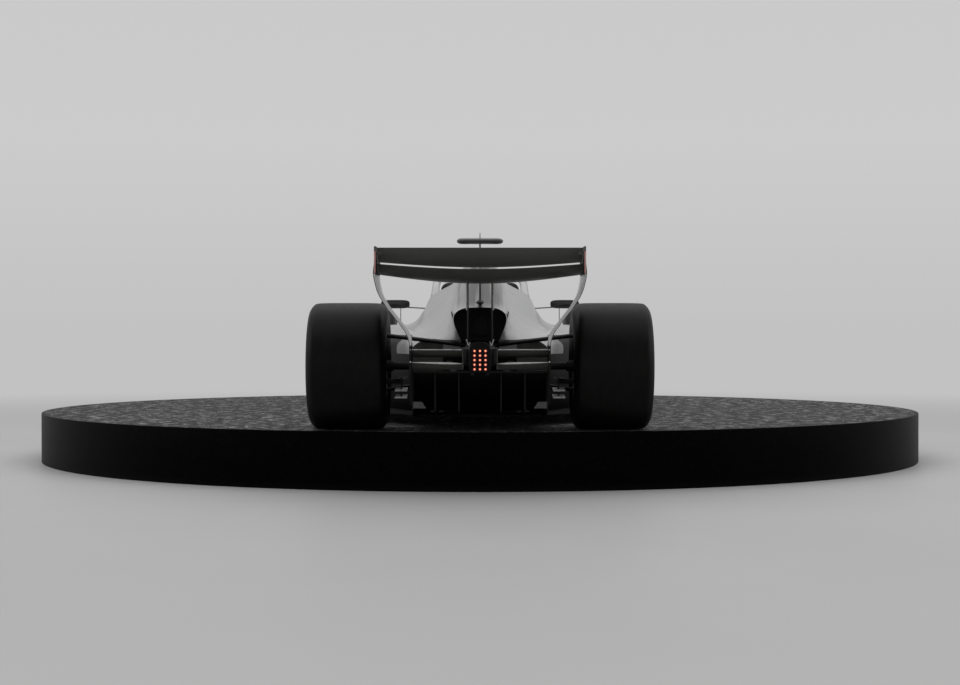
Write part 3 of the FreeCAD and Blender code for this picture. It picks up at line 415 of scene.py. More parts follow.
def screen_finish():
    """The display behind its glass: a dark panel with a few softly lit bars and a fine dot grid."""
    f = Finish("screen")
    bars = ((f.x * 110.0).fract() - 0.5).size().smooth(0.30, 0.36)
    dots = (f.x * 4200.0).sine() * (f.z * 4200.0).sine() * 0.5 + 0.5
    glow = f.blend((1.0 - bars) * dots, (0.004, 0.006, 0.008), (0.05, 0.09, 0.11))
    return f.surface(Base_Color=(0.006, 0.007, 0.008), Roughness=0.08 + 0.05 * dots, Emission_Color=glow,
                     Emission_Strength=0.7)


finishes = {
    "silver_paint": silver_finish("silver_paint", (0.32, 0.40), jointed=True),
    "silver_plain": silver_finish("silver_plain", (0.32, 0.40)),
    "silver_light": silver_finish("silver_light", (0.56, 0.66)),
    "carbon": carbon_finish("carbon", 0.40, 0.12, 0.5, (0.049, 0.049, 0.046), (0.097, 0.097, 0.090)),
    "dark_carbon": carbon_finish("dark_carbon", 0.50, 0.0, 0.22, (0.0030, 0.0028, 0.0025),
                                 (0.0070, 0.0066, 0.0061)),
    "gloss_carbon": carbon_finish("gloss_carbon", 0.18, 0.8, 0.5, grey(0.008), grey(0.020)),
    "tyre": tyre_finish(),
    "rim_metal": metal_finish("rim_metal", (0.045, 0.045, 0.048), 0.34),
    "upright_metal": metal_finish("upright_metal", (0.36, 0.36, 0.38), 0.3),
    "dark_metal": metal_finish("dark_metal", (0.020, 0.020, 0.021), 0.45),
    "bright_metal": metal_finish("bright_metal", (0.55, 0.55, 0.56), 0.25),
    "cast_metal": metal_finish("cast_metal", (0.10, 0.10, 0.105), 0.5, 120.0),
    "exhaust_metal": exhaust_finish(),
    "lamp_black": lamp_housing_finish(),
    "padding": padding_finish(),
    "webbing": webbing_finish(),
    "plank_wood": wood_finish(),
    "deck_stone": stone_top_finish(),
    "deck_stone_side": stone_side_finish(),
    "mirror_glass": mirror_finish(),
    "lamp_red": lamp_finish("lamp_red", (0.95, 0.16, 0.08), (1.0, 0.42, 0.26), 1.25),
    "lamp_rim": lamp_finish("lamp_rim", (0.10, 0.004, 0.003), (0.16, 0.008, 0.006), 0.5),
    "strip_red": lamp_finish("strip_red", (0.40, 0.16, 0.155), (0.52, 0.26, 0.25), 0.30),
    "pale_trim": pale_finish(),
    "screen": screen_finish(),
}


# The main surfaces, drawn in the car's own millimetres and moved onto the plinth when a piece is made.


def on_car(grid):
    """Car millimetres, zero under the rear axle's middle, to metres on the plinth."""
    return np.asarray(grid, float) * 0.001 + np.array([0.0, CAR_Y, CAR_Z])


def mirror(grid):
    """A grid, or a grid with its finish's number, turned over to the car's other side."""
    if isinstance(grid, tuple):
        return mirror(grid[0]), grid[1]
    return np.asarray(grid, float) * np.array([-1.0, 1.0, 1.0])


def on_side(sign, grids):
    """The right side's grids, or their mirror images where sign is -1."""
    return list(grids) if sign > 0 else [mirror(g) for g in grids]


def both(grids):
    """The grids of the right side with their mirror images."""
    return list(grids) + on_side(-1, grids)


def points(*coordinates):
    """Points from their coordinates, each an array or one number that holds for all of them."""
    return np.stack(np.broadcast_arrays(*coordinates), axis=-1).astype(float)


def full_turn(steps):
    """Angles once round; the last is the first again, so that a ring closes exactly."""
    a = np.linspace(0.0, 2 * math.pi, steps + 1)
    a[-1] = 0.0
    return a


def directions(path):
    """Unit vectors along a path of points."""
    ahead = np.gradient(np.asarray(path, float), axis=0)
    return ahead / np.linalg.norm(ahead, axis=1, keepdims=True)


def through(places, values, at):
    """A smooth line through values given at places: cubics whose slopes are the mean of their neighbours'."""
    places, values, at = (np.asarray(a, float) for a in (places, values, at))
    if places[0] > places[-1]:
        places, values = places[::-1], values[::-1]
    slope = np.gradient(values, places, axis=0)
    i = np.clip(np.searchsorted(places, at, side="right") - 1, 0, len(places) - 2)
    shape = (-1,) + (1,) * (values.ndim - 1)
    run = (places[i + 1] - places[i]).reshape(shape)
    t = np.clip((at - places[i]).reshape(shape) / run, 0.0, 1.0)
    return ((2 * t**3 - 3 * t**2 + 1) * values[i] + (t**3 - 2 * t**2 + t) * run * slope[i]
            + (3 * t**2 - 2 * t**3) * values[i + 1] + (t**3 - t**2) * run * slope[i + 1])


def evenly(values, count):
    """The same through values that lie one step apart, at count even places from the first to the last."""
    return through(np.arange(len(values)), values, np.linspace(0, len(values) - 1, count))


def along(path, count):
    """A smooth open line through the points, evenly divided by the points' own chord lengths."""
    path = np.asarray(path, float)
    reach = np.concatenate([[0.0], np.cumsum(np.linalg.norm(np.diff(path, axis=0), axis=1))])
    return through(reach, path, np.linspace(0.0, reach[-1], count))


def piece(name, grids, finish, body="chassis", hides=(), place=on_car):
    """One object from grids of points: equal points are joined, faces turned outwards and corners kept crisp.

    finish is a finish's name, or several names; a grid may then come as (grid, which of them it takes).
    """
    names = finish if isinstance(finish, tuple) else (finish,)
    corners, faces, kinds, start = [], [], [], 0
    for grid in grids:
        grid, kind = grid if isinstance(grid, tuple) else (grid, 0)
        grid = np.asarray(grid, float)
        rows, columns = grid.shape[:2]
        index = start + np.arange(rows * columns).reshape(rows, columns)
        quads = np.stack([index[:-1, :-1], index[1:, :-1], index[1:, 1:], index[:-1, 1:]],
                         axis=-1).reshape(-1, 4)
        faces.append(quads)
        kinds.append(np.full(len(quads), kind))
        corners.append(grid.reshape(-1, 3))
        start += rows * columns
    mesh = bpy.data.meshes.new(name)
    mesh.from_pydata(place(np.concatenate(corners)), [], np.concatenate(faces))
    for each in names:
        mesh.materials.append(finishes[each])
    mesh.polygons.foreach_set("material_index", np.concatenate(kinds).astype(np.int32))
    shell = bmesh.new()
    shell.from_mesh(mesh)
    bmesh.ops.remove_doubles(shell, verts=shell.verts, dist=3e-6)
    bmesh.ops.dissolve_degenerate(shell, edges=shell.edges, dist=1e-6)
    bmesh.ops.recalc_face_normals(shell, faces=shell.faces)
    shell.to_mesh(mesh)
    shell.free()
    mesh.polygons.foreach_set("use_smooth", np.ones(len(mesh.polygons), dtype=bool))
    mesh.set_sharp_from_angle(angle=math.radians(34.0))
    made = bpy.data.objects.new(name, mesh)
    bpy.context.scene.collection.objects.link(made)
    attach(made, body)
    if hides:
        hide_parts(*hides)
    return made


def fan(ring):
    """Closes a ring of points with triangles to their middle."""
    ring = np.asarray(ring, float)
    return np.stack([ring, np.broadcast_to(ring[:-1].mean(axis=0), ring.shape)])


def capped(grid):
    """A tube of rings with its two ends closed."""
    return [grid, fan(grid[0]), fan(grid[-1])]


def zipped(ring):
    """Closes a long thin ring by joining each point to the one facing it."""
    half = (len(ring) + 1) // 2
    return np.stack([ring[:half], ring[::-1][:half]])


def oval(half_x, half_y, power=2.0, steps=32):
    """A closed ring of a superellipse: power 2 is an ellipse and higher powers are squarer."""
    a = full_turn(steps)
    c, s = (np.sign(v) * np.abs(v) ** (2 / power) for v in (np.cos(a), np.sin(a)))
    return points(half_x * c, half_y * s)


def swept(path, ring, fore=(0.0, 1.0, 0.0), scale=1.0):
    """A section carried along a path: its first axis keeps near to fore and its second is square to both."""
    path, fore, ahead = np.asarray(path, float), np.asarray(fore, float), directions(path)
    first = fore - ahead * (ahead @ fore)[:, None]
    first /= np.linalg.norm(first, axis=1, keepdims=True)
    second = np.cross(ahead, first)
    size = np.broadcast_to(scale, len(path))[:, None, None]
    return path[:, None] + size * (ring[None, :, :1] * first[:, None] + ring[None, :, 1:] * second[:, None])


def rod(path, ring, fore=(0.0, 1.0, 0.0), scale=1.0):
    """The same with closed ends."""
    return capped(swept(path, ring, fore, scale))


def bar(a, b, half_chord, half_thick, power=2.0, fore=(0.0, 1.0, 0.0), steps=24, stations=2):
    """A straight arm of oval section between two points, with flat ends."""
    return rod(np.linspace(a, b, stations), oval(half_chord, half_thick, power, steps), fore)


def spun(line, centre, steps):
    """A line of (x, radius) turned about the wheel's axle through the centre."""
    line, a = np.asarray(line, float), full_turn(steps)
    x, radius = line[:, :1], line[:, 1:]
    return points(x + centre[0], radius * np.sin(a) + centre[1], radius * np.cos(a) + centre[2])


def rounded(line, radius):
    """A line of straight runs, its corners rounded by quadratic curves that start a radius before them."""
    line, t = np.asarray(line, float), np.linspace(0.0, 1.0, 6)[:, None]
    out = [line[:1]]
    for before, corner, after in zip(line[:-2], line[1:-1], line[2:]):
        back, on = before - corner, after - corner
        a, b = np.linalg.norm(back), np.linalg.norm(on)
        start = corner + back / a * min(radius, a * 0.45)
        end = corner + on / b * min(radius, b * 0.45)
        out.append((1 - t) ** 2 * start + 2 * t * (1 - t) * corner + t**2 * end)
    out.append(line[-1:])
    return np.concatenate(out)


def sheet_between(inner, outer):
    """A closed slab from two matching grids, its four edges joined by strips."""
    edges = [np.stack([inner[k], outer[k]]) for k in (0, -1)]
    edges += [np.stack([inner[:, k], outer[:, k]]) for k in (0, -1)]
    return [inner, outer] + edges


def upright_sheet(x, y, low, high, rows):
    """A sheet square to x, or bent with it, that stands from a lower line to an upper one along y."""
    share = np.linspace(0, 1, rows)
    return points(np.broadcast_to(x, len(y))[:, None], y[:, None],
                  low[:, None] + (high - low)[:, None] * share)


# Hull sections: station, half width, belly, crown and the share of the height at which it is widest.
TUB_ROWS = ((1150, 320, 75, 690, 0.55), (1600, 332, 75, 830, 0.72), (1900, 330, 75, 800, 0.74),
            (2250, 306, 78, 715, 0.74), (2650, 255, 110, 690, 0.70), (3150, 188, 190, 650, 0.60),
            (3750, 146, 262, 585, 0.55))
NOSE_ROWS = ((3750.5, 146, 262, 585, 0.55), (4150, 126, 190, 490, 0.55), (4500, 108, 118, 345, 0.55),
             (4740, 84, 84, 196, 0.50), (4800, 60, 98, 160, 0.50))
HULL_BELOW, HULL_ABOVE, COAMING_STEPS, WELL_STEPS = 15, 39, 9, 9
HULL_ROUNDING = 0.75
MOUTH_BACK, MOUTH_FRONT, MOUTH_HALF = 1760.0, 2580.0, 235.0


def hull_ring(y, half_width, low, high, flank, reach=math.pi / 2):
    """Right half of a hull section from the belly's middle out, up the flank and over towards the crown."""
    mid = low + (high - low) * flank
    tuck = np.linspace(math.pi / 2, 0.0, HULL_BELOW - 1)
    rise = np.linspace(0.0, reach, HULL_ABOVE + 1)[1:]
    x = np.concatenate([[0.0], half_width * (0.74 + 0.26 * np.cos(tuck)),
                        half_width * np.cos(rise) ** HULL_ROUNDING])
    z = np.concatenate([[low], mid - (mid - low) * np.sin(tuck),
                        mid + (high - mid) * np.sin(rise) ** HULL_ROUNDING])
    if reach == math.pi / 2:
        x[-1] = 0.0
    return points(x, y, z)


def mouth_half(y):
    """Half width of the cockpit's mouth: zero at its ends, full past the shoulders, tapering to the wheel."""
    y = np.clip(y, MOUTH_BACK, MOUTH_FRONT)
    rear = np.sqrt(np.clip(1 - ((1920.0 - np.minimum(y, 1920.0)) / 160.0) ** 2, 0, 1))
    front = np.clip((MOUTH_FRONT - np.maximum(y, 2180.0)) / 400.0, 0, 1) ** 0.62
    return float(MOUTH_HALF * rear * front)


def tub_surface():
    """The hull's sections; along the cockpit each turns over a rolled coaming and down to the seat well."""
    mouth = MOUTH_BACK + (MOUTH_FRONT - MOUTH_BACK) * (1 - np.cos(np.linspace(0, math.pi, 90))) / 2
    places = np.concatenate([np.linspace(1150, 1750, 25), mouth, np.linspace(2590, 3750, 50)])
    rows = np.array(TUB_ROWS, float)
    grid = []
    for y, (half_width, low, high, flank) in zip(places, through(rows[:, 0], rows[:, 1:], places)):
        half = mouth_half(y)
        # the crown's share of the section beyond the mouth's edge is squeezed up to the coaming
        reach = math.acos(min(half / half_width, 0.98) ** (1 / HULL_ROUNDING)) if half > 0.5 else math.pi / 2
        ring = hull_ring(y, half_width, low, high, flank, reach)
        edge_x, _, edge_z = ring[-1]
        lip = min(half * 0.2, 16.0)
        t = np.linspace(0.0, math.pi, COAMING_STEPS)
        roll_x = edge_x - lip * (1 - np.cos(t)) / 2
        roll_z = edge_z + lip * 0.55 * np.sin(t)
        depth = 1.0 if half > 0.5 or MOUTH_BACK <= y <= MOUTH_FRONT else 0.0
        floor_z = edge_z + (max(low + 45.0, 118.0) - edge_z) * depth
        wall_z = np.linspace(roll_z[-1], floor_z, WELL_STEPS + 1)[1:]
        wall_x = roll_x[-1] + min(half, 1.0) * 14.0 * np.sin(np.linspace(0, math.pi / 2, WELL_STEPS)) * depth
        wall_x = np.minimum(wall_x, max(half - 1.0, 0.0)) if half <= 15.0 else wall_x
        inside = points(np.concatenate([roll_x, wall_x, [0.0]]), y,
                        np.concatenate([roll_z, wall_z, [floor_z]]))
        grid.append(np.concatenate([ring, inside]))
    return np.array(grid)


def nose_surface():
    """The hull's sections drawn down to the tip, which closes in a rounded cap."""
    rows = np.array(NOSE_ROWS, float)
    places = np.concatenate([np.linspace(3750.5, 4740, 60),
                             4740 + 60 * np.sin(np.linspace(0.05, math.pi / 2, 14))])
    sizes = through(rows[:, 0], rows[:, 1:], places)
    shrink = np.sqrt(np.clip(1 - ((places - 4770.0) / 30.0) ** 2 * (places > 4770.0), 0.0, 1.0))
    grid = []
    for y, (half_width, low, high, flank), s in zip(places, sizes, shrink):
        middle = (low + high) / 2
        grid.append(hull_ring(y, half_width * s, middle + (low - middle) * s, middle + (high - middle) * s,
                              flank))
    return np.array(grid)


# The cover's right half at six stations, from the spine's top out to its foot.
COVER_Y = (1655, 1250, 850, 450, 140, -60)
COVER_WIDTHS = ((0, 62, 104, 128, 165, 240, 322, 368, 420, 488),
                (0, 54, 98, 130, 160, 215, 295, 350, 402, 466),
                (0, 56, 104, 138, 158, 190, 245, 302, 350, 405),
                (0, 58, 110, 146, 162, 176, 210, 250, 288, 330),
                (0, 56, 106, 144, 161, 164, 176, 190, 206, 222),
                (0, 58, 104, 138, 151, 147, 135, 126, 118, 111))
COVER_HEIGHTS = ((1072, 1056, 1008, 940, 882, 840, 788, 702, 630, 595),
                 (1010, 994, 940, 870, 800, 745, 690, 640, 602, 580),
                 (922, 908, 868, 805, 738, 680, 630, 594, 570, 558),
                 (830, 820, 788, 735, 680, 630, 585, 556, 539, 529),
                 (745, 741, 722, 686, 645, 605, 565, 541, 524, 510),
                 (694, 693, 685, 664, 633, 600, 566, 546, 527, 508))
COVER_WALL = 5.0
AIRBOX_FACE, AIRBOX_Z = 1655.0, 992.0
AIRBOX_LINE = ((0, 928), (40, 930), (66, 946), (84, 990), (72, 1020), (40, 1043), (0, 1048))


def cover_surface(inset):
    """A barrel along the spine that flares out into the pods' deck; inset moves it square into its wall."""
    rows = []
    for widths, heights in zip(COVER_WIDTHS, COVER_HEIGHTS):
        right = points(widths, heights)
        ahead = np.gradient(right, axis=0)
        ahead[0] = (1.0, 0.0)
        ahead /= np.linalg.norm(ahead, axis=1, keepdims=True)
        right += inset * points(ahead[:, 1], -ahead[:, 0])
        left = right[:0:-1] * np.array([-1.0, 1.0])
        rows.append(evenly(np.concatenate([left, right]), 127))
    places = np.linspace(COVER_Y[-1], COVER_Y[0], 80)
    flat = through(COVER_Y, np.array(rows), places)
    return points(flat[:, :, 0], places[:, None], flat[:, :, 1])


def airbox_ring(steps):
    """The three cornered intake's closed outline, as (x, z) from its middle."""
    right = np.array(AIRBOX_LINE, float)
    left = right[-2:0:-1] * np.array([-1.0, 1.0])
    ring = evenly(np.concatenate([right, left, right[:1]]), steps)[:-1]
    return ring - np.array([0.0, AIRBOX_Z])


def cover_grids():
    """The shell's two walls and rims, the front wall round the intake, and the intake's lip and duct."""
    outside, inside = cover_surface(0.0), cover_surface(COVER_WALL)
    dark = 1
    rims = [np.stack([outside[:, k], inside[:, k]]) for k in (0, -1)]
    shell = [outside, (inside, dark)] + rims + [(np.stack([outside[0], inside[0]]), dark)]
    # the front wall's outline: over the cover's first section and back along its foot
    steps = 161
    face = outside[-1]
    outline = np.concatenate([face, np.linspace(face[-1], face[0], steps - len(face) + 1)[1:]])
    angle = np.arctan2(outline[:, 2] - AIRBOX_Z, outline[:, 0])
    # the intake's radius at the same angles, so that both rings match point for point
    ring = airbox_ring(400)
    ring_angle = np.arctan2(ring[:, 1], ring[:, 0])
    order = np.argsort(ring_angle)
    wrapped = np.concatenate([ring_angle[order] + turn * 2 * math.pi for turn in (-1, 0, 1)])
    reach = np.interp(angle, wrapped, np.tile(np.linalg.norm(ring, axis=1)[order], 3))

    def mouth(wider, y):
        return points((reach + wider) * np.cos(angle), y, AIRBOX_Z + (reach + wider) * np.sin(angle))

    rim = mouth(13.0, AIRBOX_FACE)
    pull = outline * np.array([0.35, 1.0, 1.0])
    front = np.stack([(1 - t) ** 2 * outline + 2 * t * (1 - t) * pull + t**2 * rim
                      for t in np.linspace(0, 1, 14)])
    lip = np.stack([mouth(13.0 * math.cos(t) ** 2, AIRBOX_FACE + 12.0 * math.sin(2 * t))
                    for t in np.linspace(0, math.pi / 2, 9)])
    duct = np.stack([mouth(0.0, AIRBOX_FACE), mouth(-4.0, 1560.0), mouth(-10.0, 1420.0)])
    return shell + [front, lip, (duct, dark), (fan(duct[-1]), dark)]


# Pod sections: station, inner and outer half width, belly, deck and the drop of the rounded edge.
POD_ROWS = ((2180, 250, 700, 324.5, 606, 42), (1900, 250, 735, 214.5, 604, 52),
            (1450, 250, 742, 84.5, 592, 70), (1000, 200, 690, 84.5, 570, 84), (600, 150, 560, 84.5, 545, 84),
            (240, 110, 400, 84.5, 518, 80))
POD_WALL = 13.0


def pod_surface(places, inset=0.0):
    """Deck, rounded edge and undercut flank on one smooth line, closed along the floor and the tub."""
    rows = []
    for _, inner, outer, low, high, edge in POD_ROWS:
        inner, outer, low, high = inner + inset, outer - inset, low + inset, high - inset
        deck = [(inner, high), ((inner - inset + outer - 90) / 2, high - edge * 0.04),
                (outer - 90, high - edge * 0.10)]
        flank = [(outer - 30, high - edge * 0.40), (outer, high - edge),
                 (outer - 10, (high + low) / 2 - edge * 0.2), (outer - 60, low + (high - low) * 0.16),
                 (outer - 120, low)]
        rows.append(np.concatenate([evenly(np.array(deck + flank, float), 64),
                                    [(inner, low), (inner, high)]]))
    flat = through([row[0] for row in POD_ROWS], np.array(rows), places)
    return points(flat[:, :, 0], np.asarray(places)[:, None], flat[:, :, 1])


def pod_grids():
    """The right pod with a rolled inlet lip and the duct behind it."""
    outside = pod_surface(np.linspace(240, 2180, 70))
    duct = pod_surface(np.array([1760.0, 2000.0, 2165.0, 2180.0]), POD_WALL)
    edge, inner = outside[-1], duct[-1]
    lip = [edge + (inner - edge) * math.sin(t) ** 2 + np.array([0, 9.0 * math.sin(2 * t), 0])
           for t in np.linspace(0.0, math.pi / 2, 7)[1:-1]]
    return [outside, fan(outside[0]), np.stack([edge] + lip + [inner]), (duct, 1), (fan(duct[0]), 1)]


# The middle of the wheels from the centre line, the rims' widths, and how deep their covers are dished.
FRONT_TRACK, REAR_TRACK = 805.0, 745.0
FRONT_RIM, REAR_RIM = 305.0, 420.0
COVER_DISH = 40
# End of the car, the axle's station, the wheels' middle, the tyre's width and the rim's width.
WHEELS = (("front", WHEELBASE, FRONT_TRACK, 330.0, FRONT_RIM), ("rear", 0.0, REAR_TRACK, 450.0, REAR_RIM))


def tyre_grids(width, rim_width, centre):
    """A slick: bead, bulged wall, rounded shoulder, barely crowned tread, two moulded lines on each wall."""
    half, bead = width / 2, rim_width / 2
    corners = np.array([(bead - 8, 224.0), (bead, 229.5), (half - 4, 262), (half, 290), (half - 3, 310),
                        (half - 11, 328), (half - 25, 345), (half - 46, 356.5), (half * 0.5, 359.6),
                        (0, 360.0)])
    wall = evenly(corners, 60)
    line = np.concatenate([wall, (wall * np.array([-1.0, 1.0]))[-2::-1]])
    radius = line[:, 1]
    lift = 1.2 * np.exp(-((radius - 300.0) / 3.0) ** 2) + 0.8 * np.exp(-((radius - 326.0) / 1.6) ** 2)
    line[:, 0] -= np.sign(line[:, 0]) * lift
    under = [line[-1], (line[-1][0], 228.7), (line[0][0], 228.7), line[0]]
    return [spun(line, centre, 176), spun(np.array(under), centre, 176)]


def rim_grids(width, outboard, centre):
    """Barrel with rolled flanges, a dished outer cover with a hub boss, and the inner barrel behind it."""
    half = width / 2
    face = half - COVER_DISH
    cover = rounded([(half, 217.0), (half - 3, 205.0), (face + 12, 120.0), (face, 66.0), (face + 4, 40.0),
                     (face + 6, 24.0), (face + 6, 0.0)], 8.0)
    outer = rounded([(half - 8, 222.0), (half, 228.4), (half, 217.0)], 2.0)
    barrel = rounded([(half - 8, 222.0), (half - 30, 219.0), (half - 60, 205.0), (-half + 40, 205.0),
                      (-half + 12, 218.0), (-half, 228.4), (-half, 217.5), (-half + 14, 212.0),
                      (-half + 40, 201.0), (half - 30, 201.0), (face - 6, 190.0), (face - 12, 70.0),
                      (face - 60, 46.0), (face - 60, 26.0), (face - 6, 26.0), (face - 6, 0.0)], 5.0)
    line = np.concatenate([cover[::-1], outer[::-1][1:], barrel[1:]])
    line[:, 0] *= outboard
    return [spun(line, centre, 144)]


def wing_ring(nose, tail, camber, thickness):
    """An aerofoil's closed ring in (y, z): a curved mean line, a round nose and a fine blunt tail."""
    nose = np.array(nose, float)
    run = np.array(tail, float) - nose
    up = np.array([-run[1], run[0]]) / np.linalg.norm(run)
    up = -up if up[1] < 0 else up
    t = (1 - np.cos(np.linspace(0.0, math.pi, 22))) / 2
    depth = 2.6 * (0.2969 * np.sqrt(t) - 0.126 * t - 0.3516 * t**2 + 0.2843 * t**3
                   - 0.1036 * t**4) * 1.9 + 0.14 * t
    upper, lower = (sign * depth * thickness / 2 - camber * 4 * t * (1 - t) for sign in (1, -1))
    shares = np.concatenate([t[::-1], t[1:], t[-1:]])
    offsets = np.concatenate([upper[::-1], lower[1:], upper[-1:]])
    return nose + shares[:, None] * run + offsets[:, None] * up


def wing_grids(rows):
    """A wing lofted through rows of (x, nose, tail, camber, thickness), with its ends closed."""
    grid = np.array([points(x, *wing_ring(*section).T) for x, *section in rows])
    return [grid, zipped(grid[0][:-1]), zipped(grid[-1][:-1])]


def rear_wing_rows(half, nose, tail, nose_sag, tail_sag, camber, thickness):
    """Rows across the rear wing, whose middle hangs lower than its ends by a cosine."""
    shares = np.linspace(-1, 1, 41)
    return [(s * half, (nose[0], nose[1] - nose_sag * g), (tail[0], tail[1] - tail_sag * g), camber,
             thickness)
            for s, g in zip(shares, np.cos(shares * math.pi / 2))]


def front_element(element, share):
    """Nose and tail of one of the four front elements, from the lowest up, at a share of the half span."""
    y = 4790 - element * 120 - 230 * share
    z = 95 + sum(28 + 12 * lower + 24 * share for lower in range(element))
    return (y, z), (y - 128, z + 14 + 12 * element + 24 * share)


# The right endplate: (height, distance out) of its sheet, and (height, y) of its front and back edges.
ENDPLATE_LINE = ((150, 376), (470, 376), (480, 376), (538, 390), (622, 448), (700, 506), (765, 543),
                 (820, 558), (872, 565), (925, 560), (1016, 560))
ENDPLATE_FRONT = ((150, -60), (360, -120), (480, -240), (640, -235), (780, -130), (905, -120), (960, -225),
                  (1016, -330))
ENDPLATE_BACK = ((150, -340), (330, -470), (560, -500), (760, -560), (860, -626), (1016, -626))
ENDPLATE_WALL = 10.0
# its rows of points up to the roll, up to the wing, and in all
ENDPLATE_FOOT, ENDPLATE_ROLL, ENDPLATE_ROWS = 24, 71, 90


def endplate_grid(offset):
    """The endplate's sheet: its distance out and its front and back edges are functions of height."""
    z = np.concatenate([np.linspace(150, 478, ENDPLATE_FOOT),
                        np.linspace(480, 1016, ENDPLATE_ROWS - ENDPLATE_FOOT)])
    x = through(*np.array(ENDPLATE_LINE, float).T, z) + offset
    front, back = (np.interp(z, *np.array(line, float).T)[:, None]
                   for line in (ENDPLATE_FRONT, ENDPLATE_BACK))
    return points(x[:, None], back + (front - back) * np.linspace(0, 1, 26), z[:, None])


def plinth_piece():
    """The drum, in metres: softly broken edges, an oiled side and the rough stone top in rings."""
    radius, height, edge, border = 3.070, 0.330, 0.004, 0.024
    a = full_turn(288)

    def turned(line):
        away, up = np.array(line).T[:, :, None]
        return points(away * np.cos(a), away * np.sin(a), up)

    side = turned([(0.0, 0.0), (radius - edge, 0.0), (radius, edge), (radius, 0.12), (radius, height - edge),
                   (radius - edge * 0.3, height - edge * 0.3), (radius - edge, height),
                   (radius - border, height)])
    top = turned([(radius - border, height)] + [(radius * share, height) for share in (0.8, 0.5, 0.2, 0.0)])
    piece("plinth_drum", [(side, 1), top], ("deck_stone", "deck_stone_side"), hides=["plinth"],
          place=np.asarray)


def hull_pieces():
    """The nose and the tub, whose cockpit is bare laminate below its coaming."""
    coaming = HULL_BELOW + HULL_ABOVE + COAMING_STEPS
    for name, right, node in (("tub", tub_surface(), "monocoque"), ("nose", nose_surface(), "nose_cone")):
        ends = [fan(np.concatenate([right[i], mirror(right[i])[::-1]])) for i in (0, -1)]
        grids = [(right[:, :coaming], 0), (right[:, coaming - 1:], 1)] if name == "tub" else [right]
        piece(name, both(grids) + ends, ("silver_paint", "dark_carbon"), hides=[node])


def bodywork_pieces():
    """The cover with its fin and a baffle in its exit, and the pods with shields and gills at their tails."""
    piece("engine_shroud", cover_grids(), ("silver_paint", "dark_carbon"), hides=["engine_cover"])
    bay = cover_surface(COVER_WALL + 1.0)[8]
    bay = np.concatenate([bay, bay[:1]])
    piece("engine_bay_baffle", capped(np.stack([bay, bay + np.array([0.0, 4.0, 0.0])])), "dark_carbon")
    y, low, high = np.array([(1200, 900, 1016), (900, 890, 978), (600, 860, 942), (300, 820, 905),
                             (100, 780, 873), (-20, 690, 853), (-40, 694, 850), (-62, 740, 830),
                             (-70, 760, 800)], float).T
    walls = [np.stack([points(x, y, low), points(x, y, high)]) for x in (-4.5, 4.5)]
    ring = oval(1.0, 0.8, 1.15, 24)
    tip = np.stack([points(ring[:, 0] * size, back, 722 + ring[:, 1] * size)
                    for back, size in ((20, 4), (-5, 13), (-28, 21), (-50, 24), (-74, 16), (-96, 6))])
    piece("spine_fin", sheet_between(*walls) + capped(tip), "dark_carbon")
    for side, sign in SIDES:
        piece("pod_" + side, on_side(sign, pod_grids()), ("silver_paint", "dark_carbon"),
              hides=["sidepod_" + side])
    tail = pod_surface(np.array([240.0]))[0] * np.array([1.0, 0.0, 1.0])
    tail[:, 0] = np.clip(tail[:, 0], 215.0, None)
    shield = np.stack([tail + np.array([0.0, y, 0.0]) for y in (239.0, 236.0)])
    piece("pod_tail_shields", both(capped(shield)), "carbon")
    gills = []
    for y, z in ((62, 652), (86, 648), (110, 644)):
        gills += bar((156, y, z - 22), (163, y + 3, z + 20), 5, 3.2, 3)
    piece("exit_gills", both(gills), "dark_carbon")


def wheels():
    """Each wheel's name, side, centre, tyre width and rim width."""
    for end, y, x, width, rim_width in WHEELS:
        for side, sign in SIDES:
            yield end + "_" + side, sign, np.array([sign * x, y, AXLE]), width, rim_width


def round_axle(count, start=0.0):
    """Directions square to an axle, evenly round it."""
    for k in range(count):
        a = 2 * math.pi * (k + start) / count
        yield np.array([0.0, math.sin(a), math.cos(a)])


def across(distance):
    """A step along the axles."""
    return np.array([distance, 0.0, 0.0])


def wheel_pieces():
    """Tyre, rim with its cover and the centre nut of each wheel, all turning with it."""
    for name, sign, centre, width, rim_width in wheels():
        piece("slick_" + name, tyre_grids(width, rim_width, centre), "tyre", "wheel_" + name,
              ["tyre_" + name])
        piece("wheel_rim_" + name, rim_grids(rim_width, sign, centre), "rim_metal", "wheel_" + name,
              ["rim_" + name])
        face = rim_width / 2 - COVER_DISH
        lobes = []
        for away in round_axle(9):
            mid = centre + away * 27.0
            lobes += bar(mid + across(sign * (face - 2)), mid + across(sign * (face + 16)), 7.5, 7.5, 2.5,
                         (0, 0, 1), 12)
        nut = rounded([(face - 2, 0.0), (face - 2, 34.0), (face + 8, 34.0), (face + 12, 24.0),
                       (face + 20, 22.0), (face + 20, 0.0)], 2.0)
        nut[:, 0] *= sign
        piece("wheel_nut_" + name, [spun(nut, centre, 48)] + lobes, "bright_metal", "wheel_" + name)


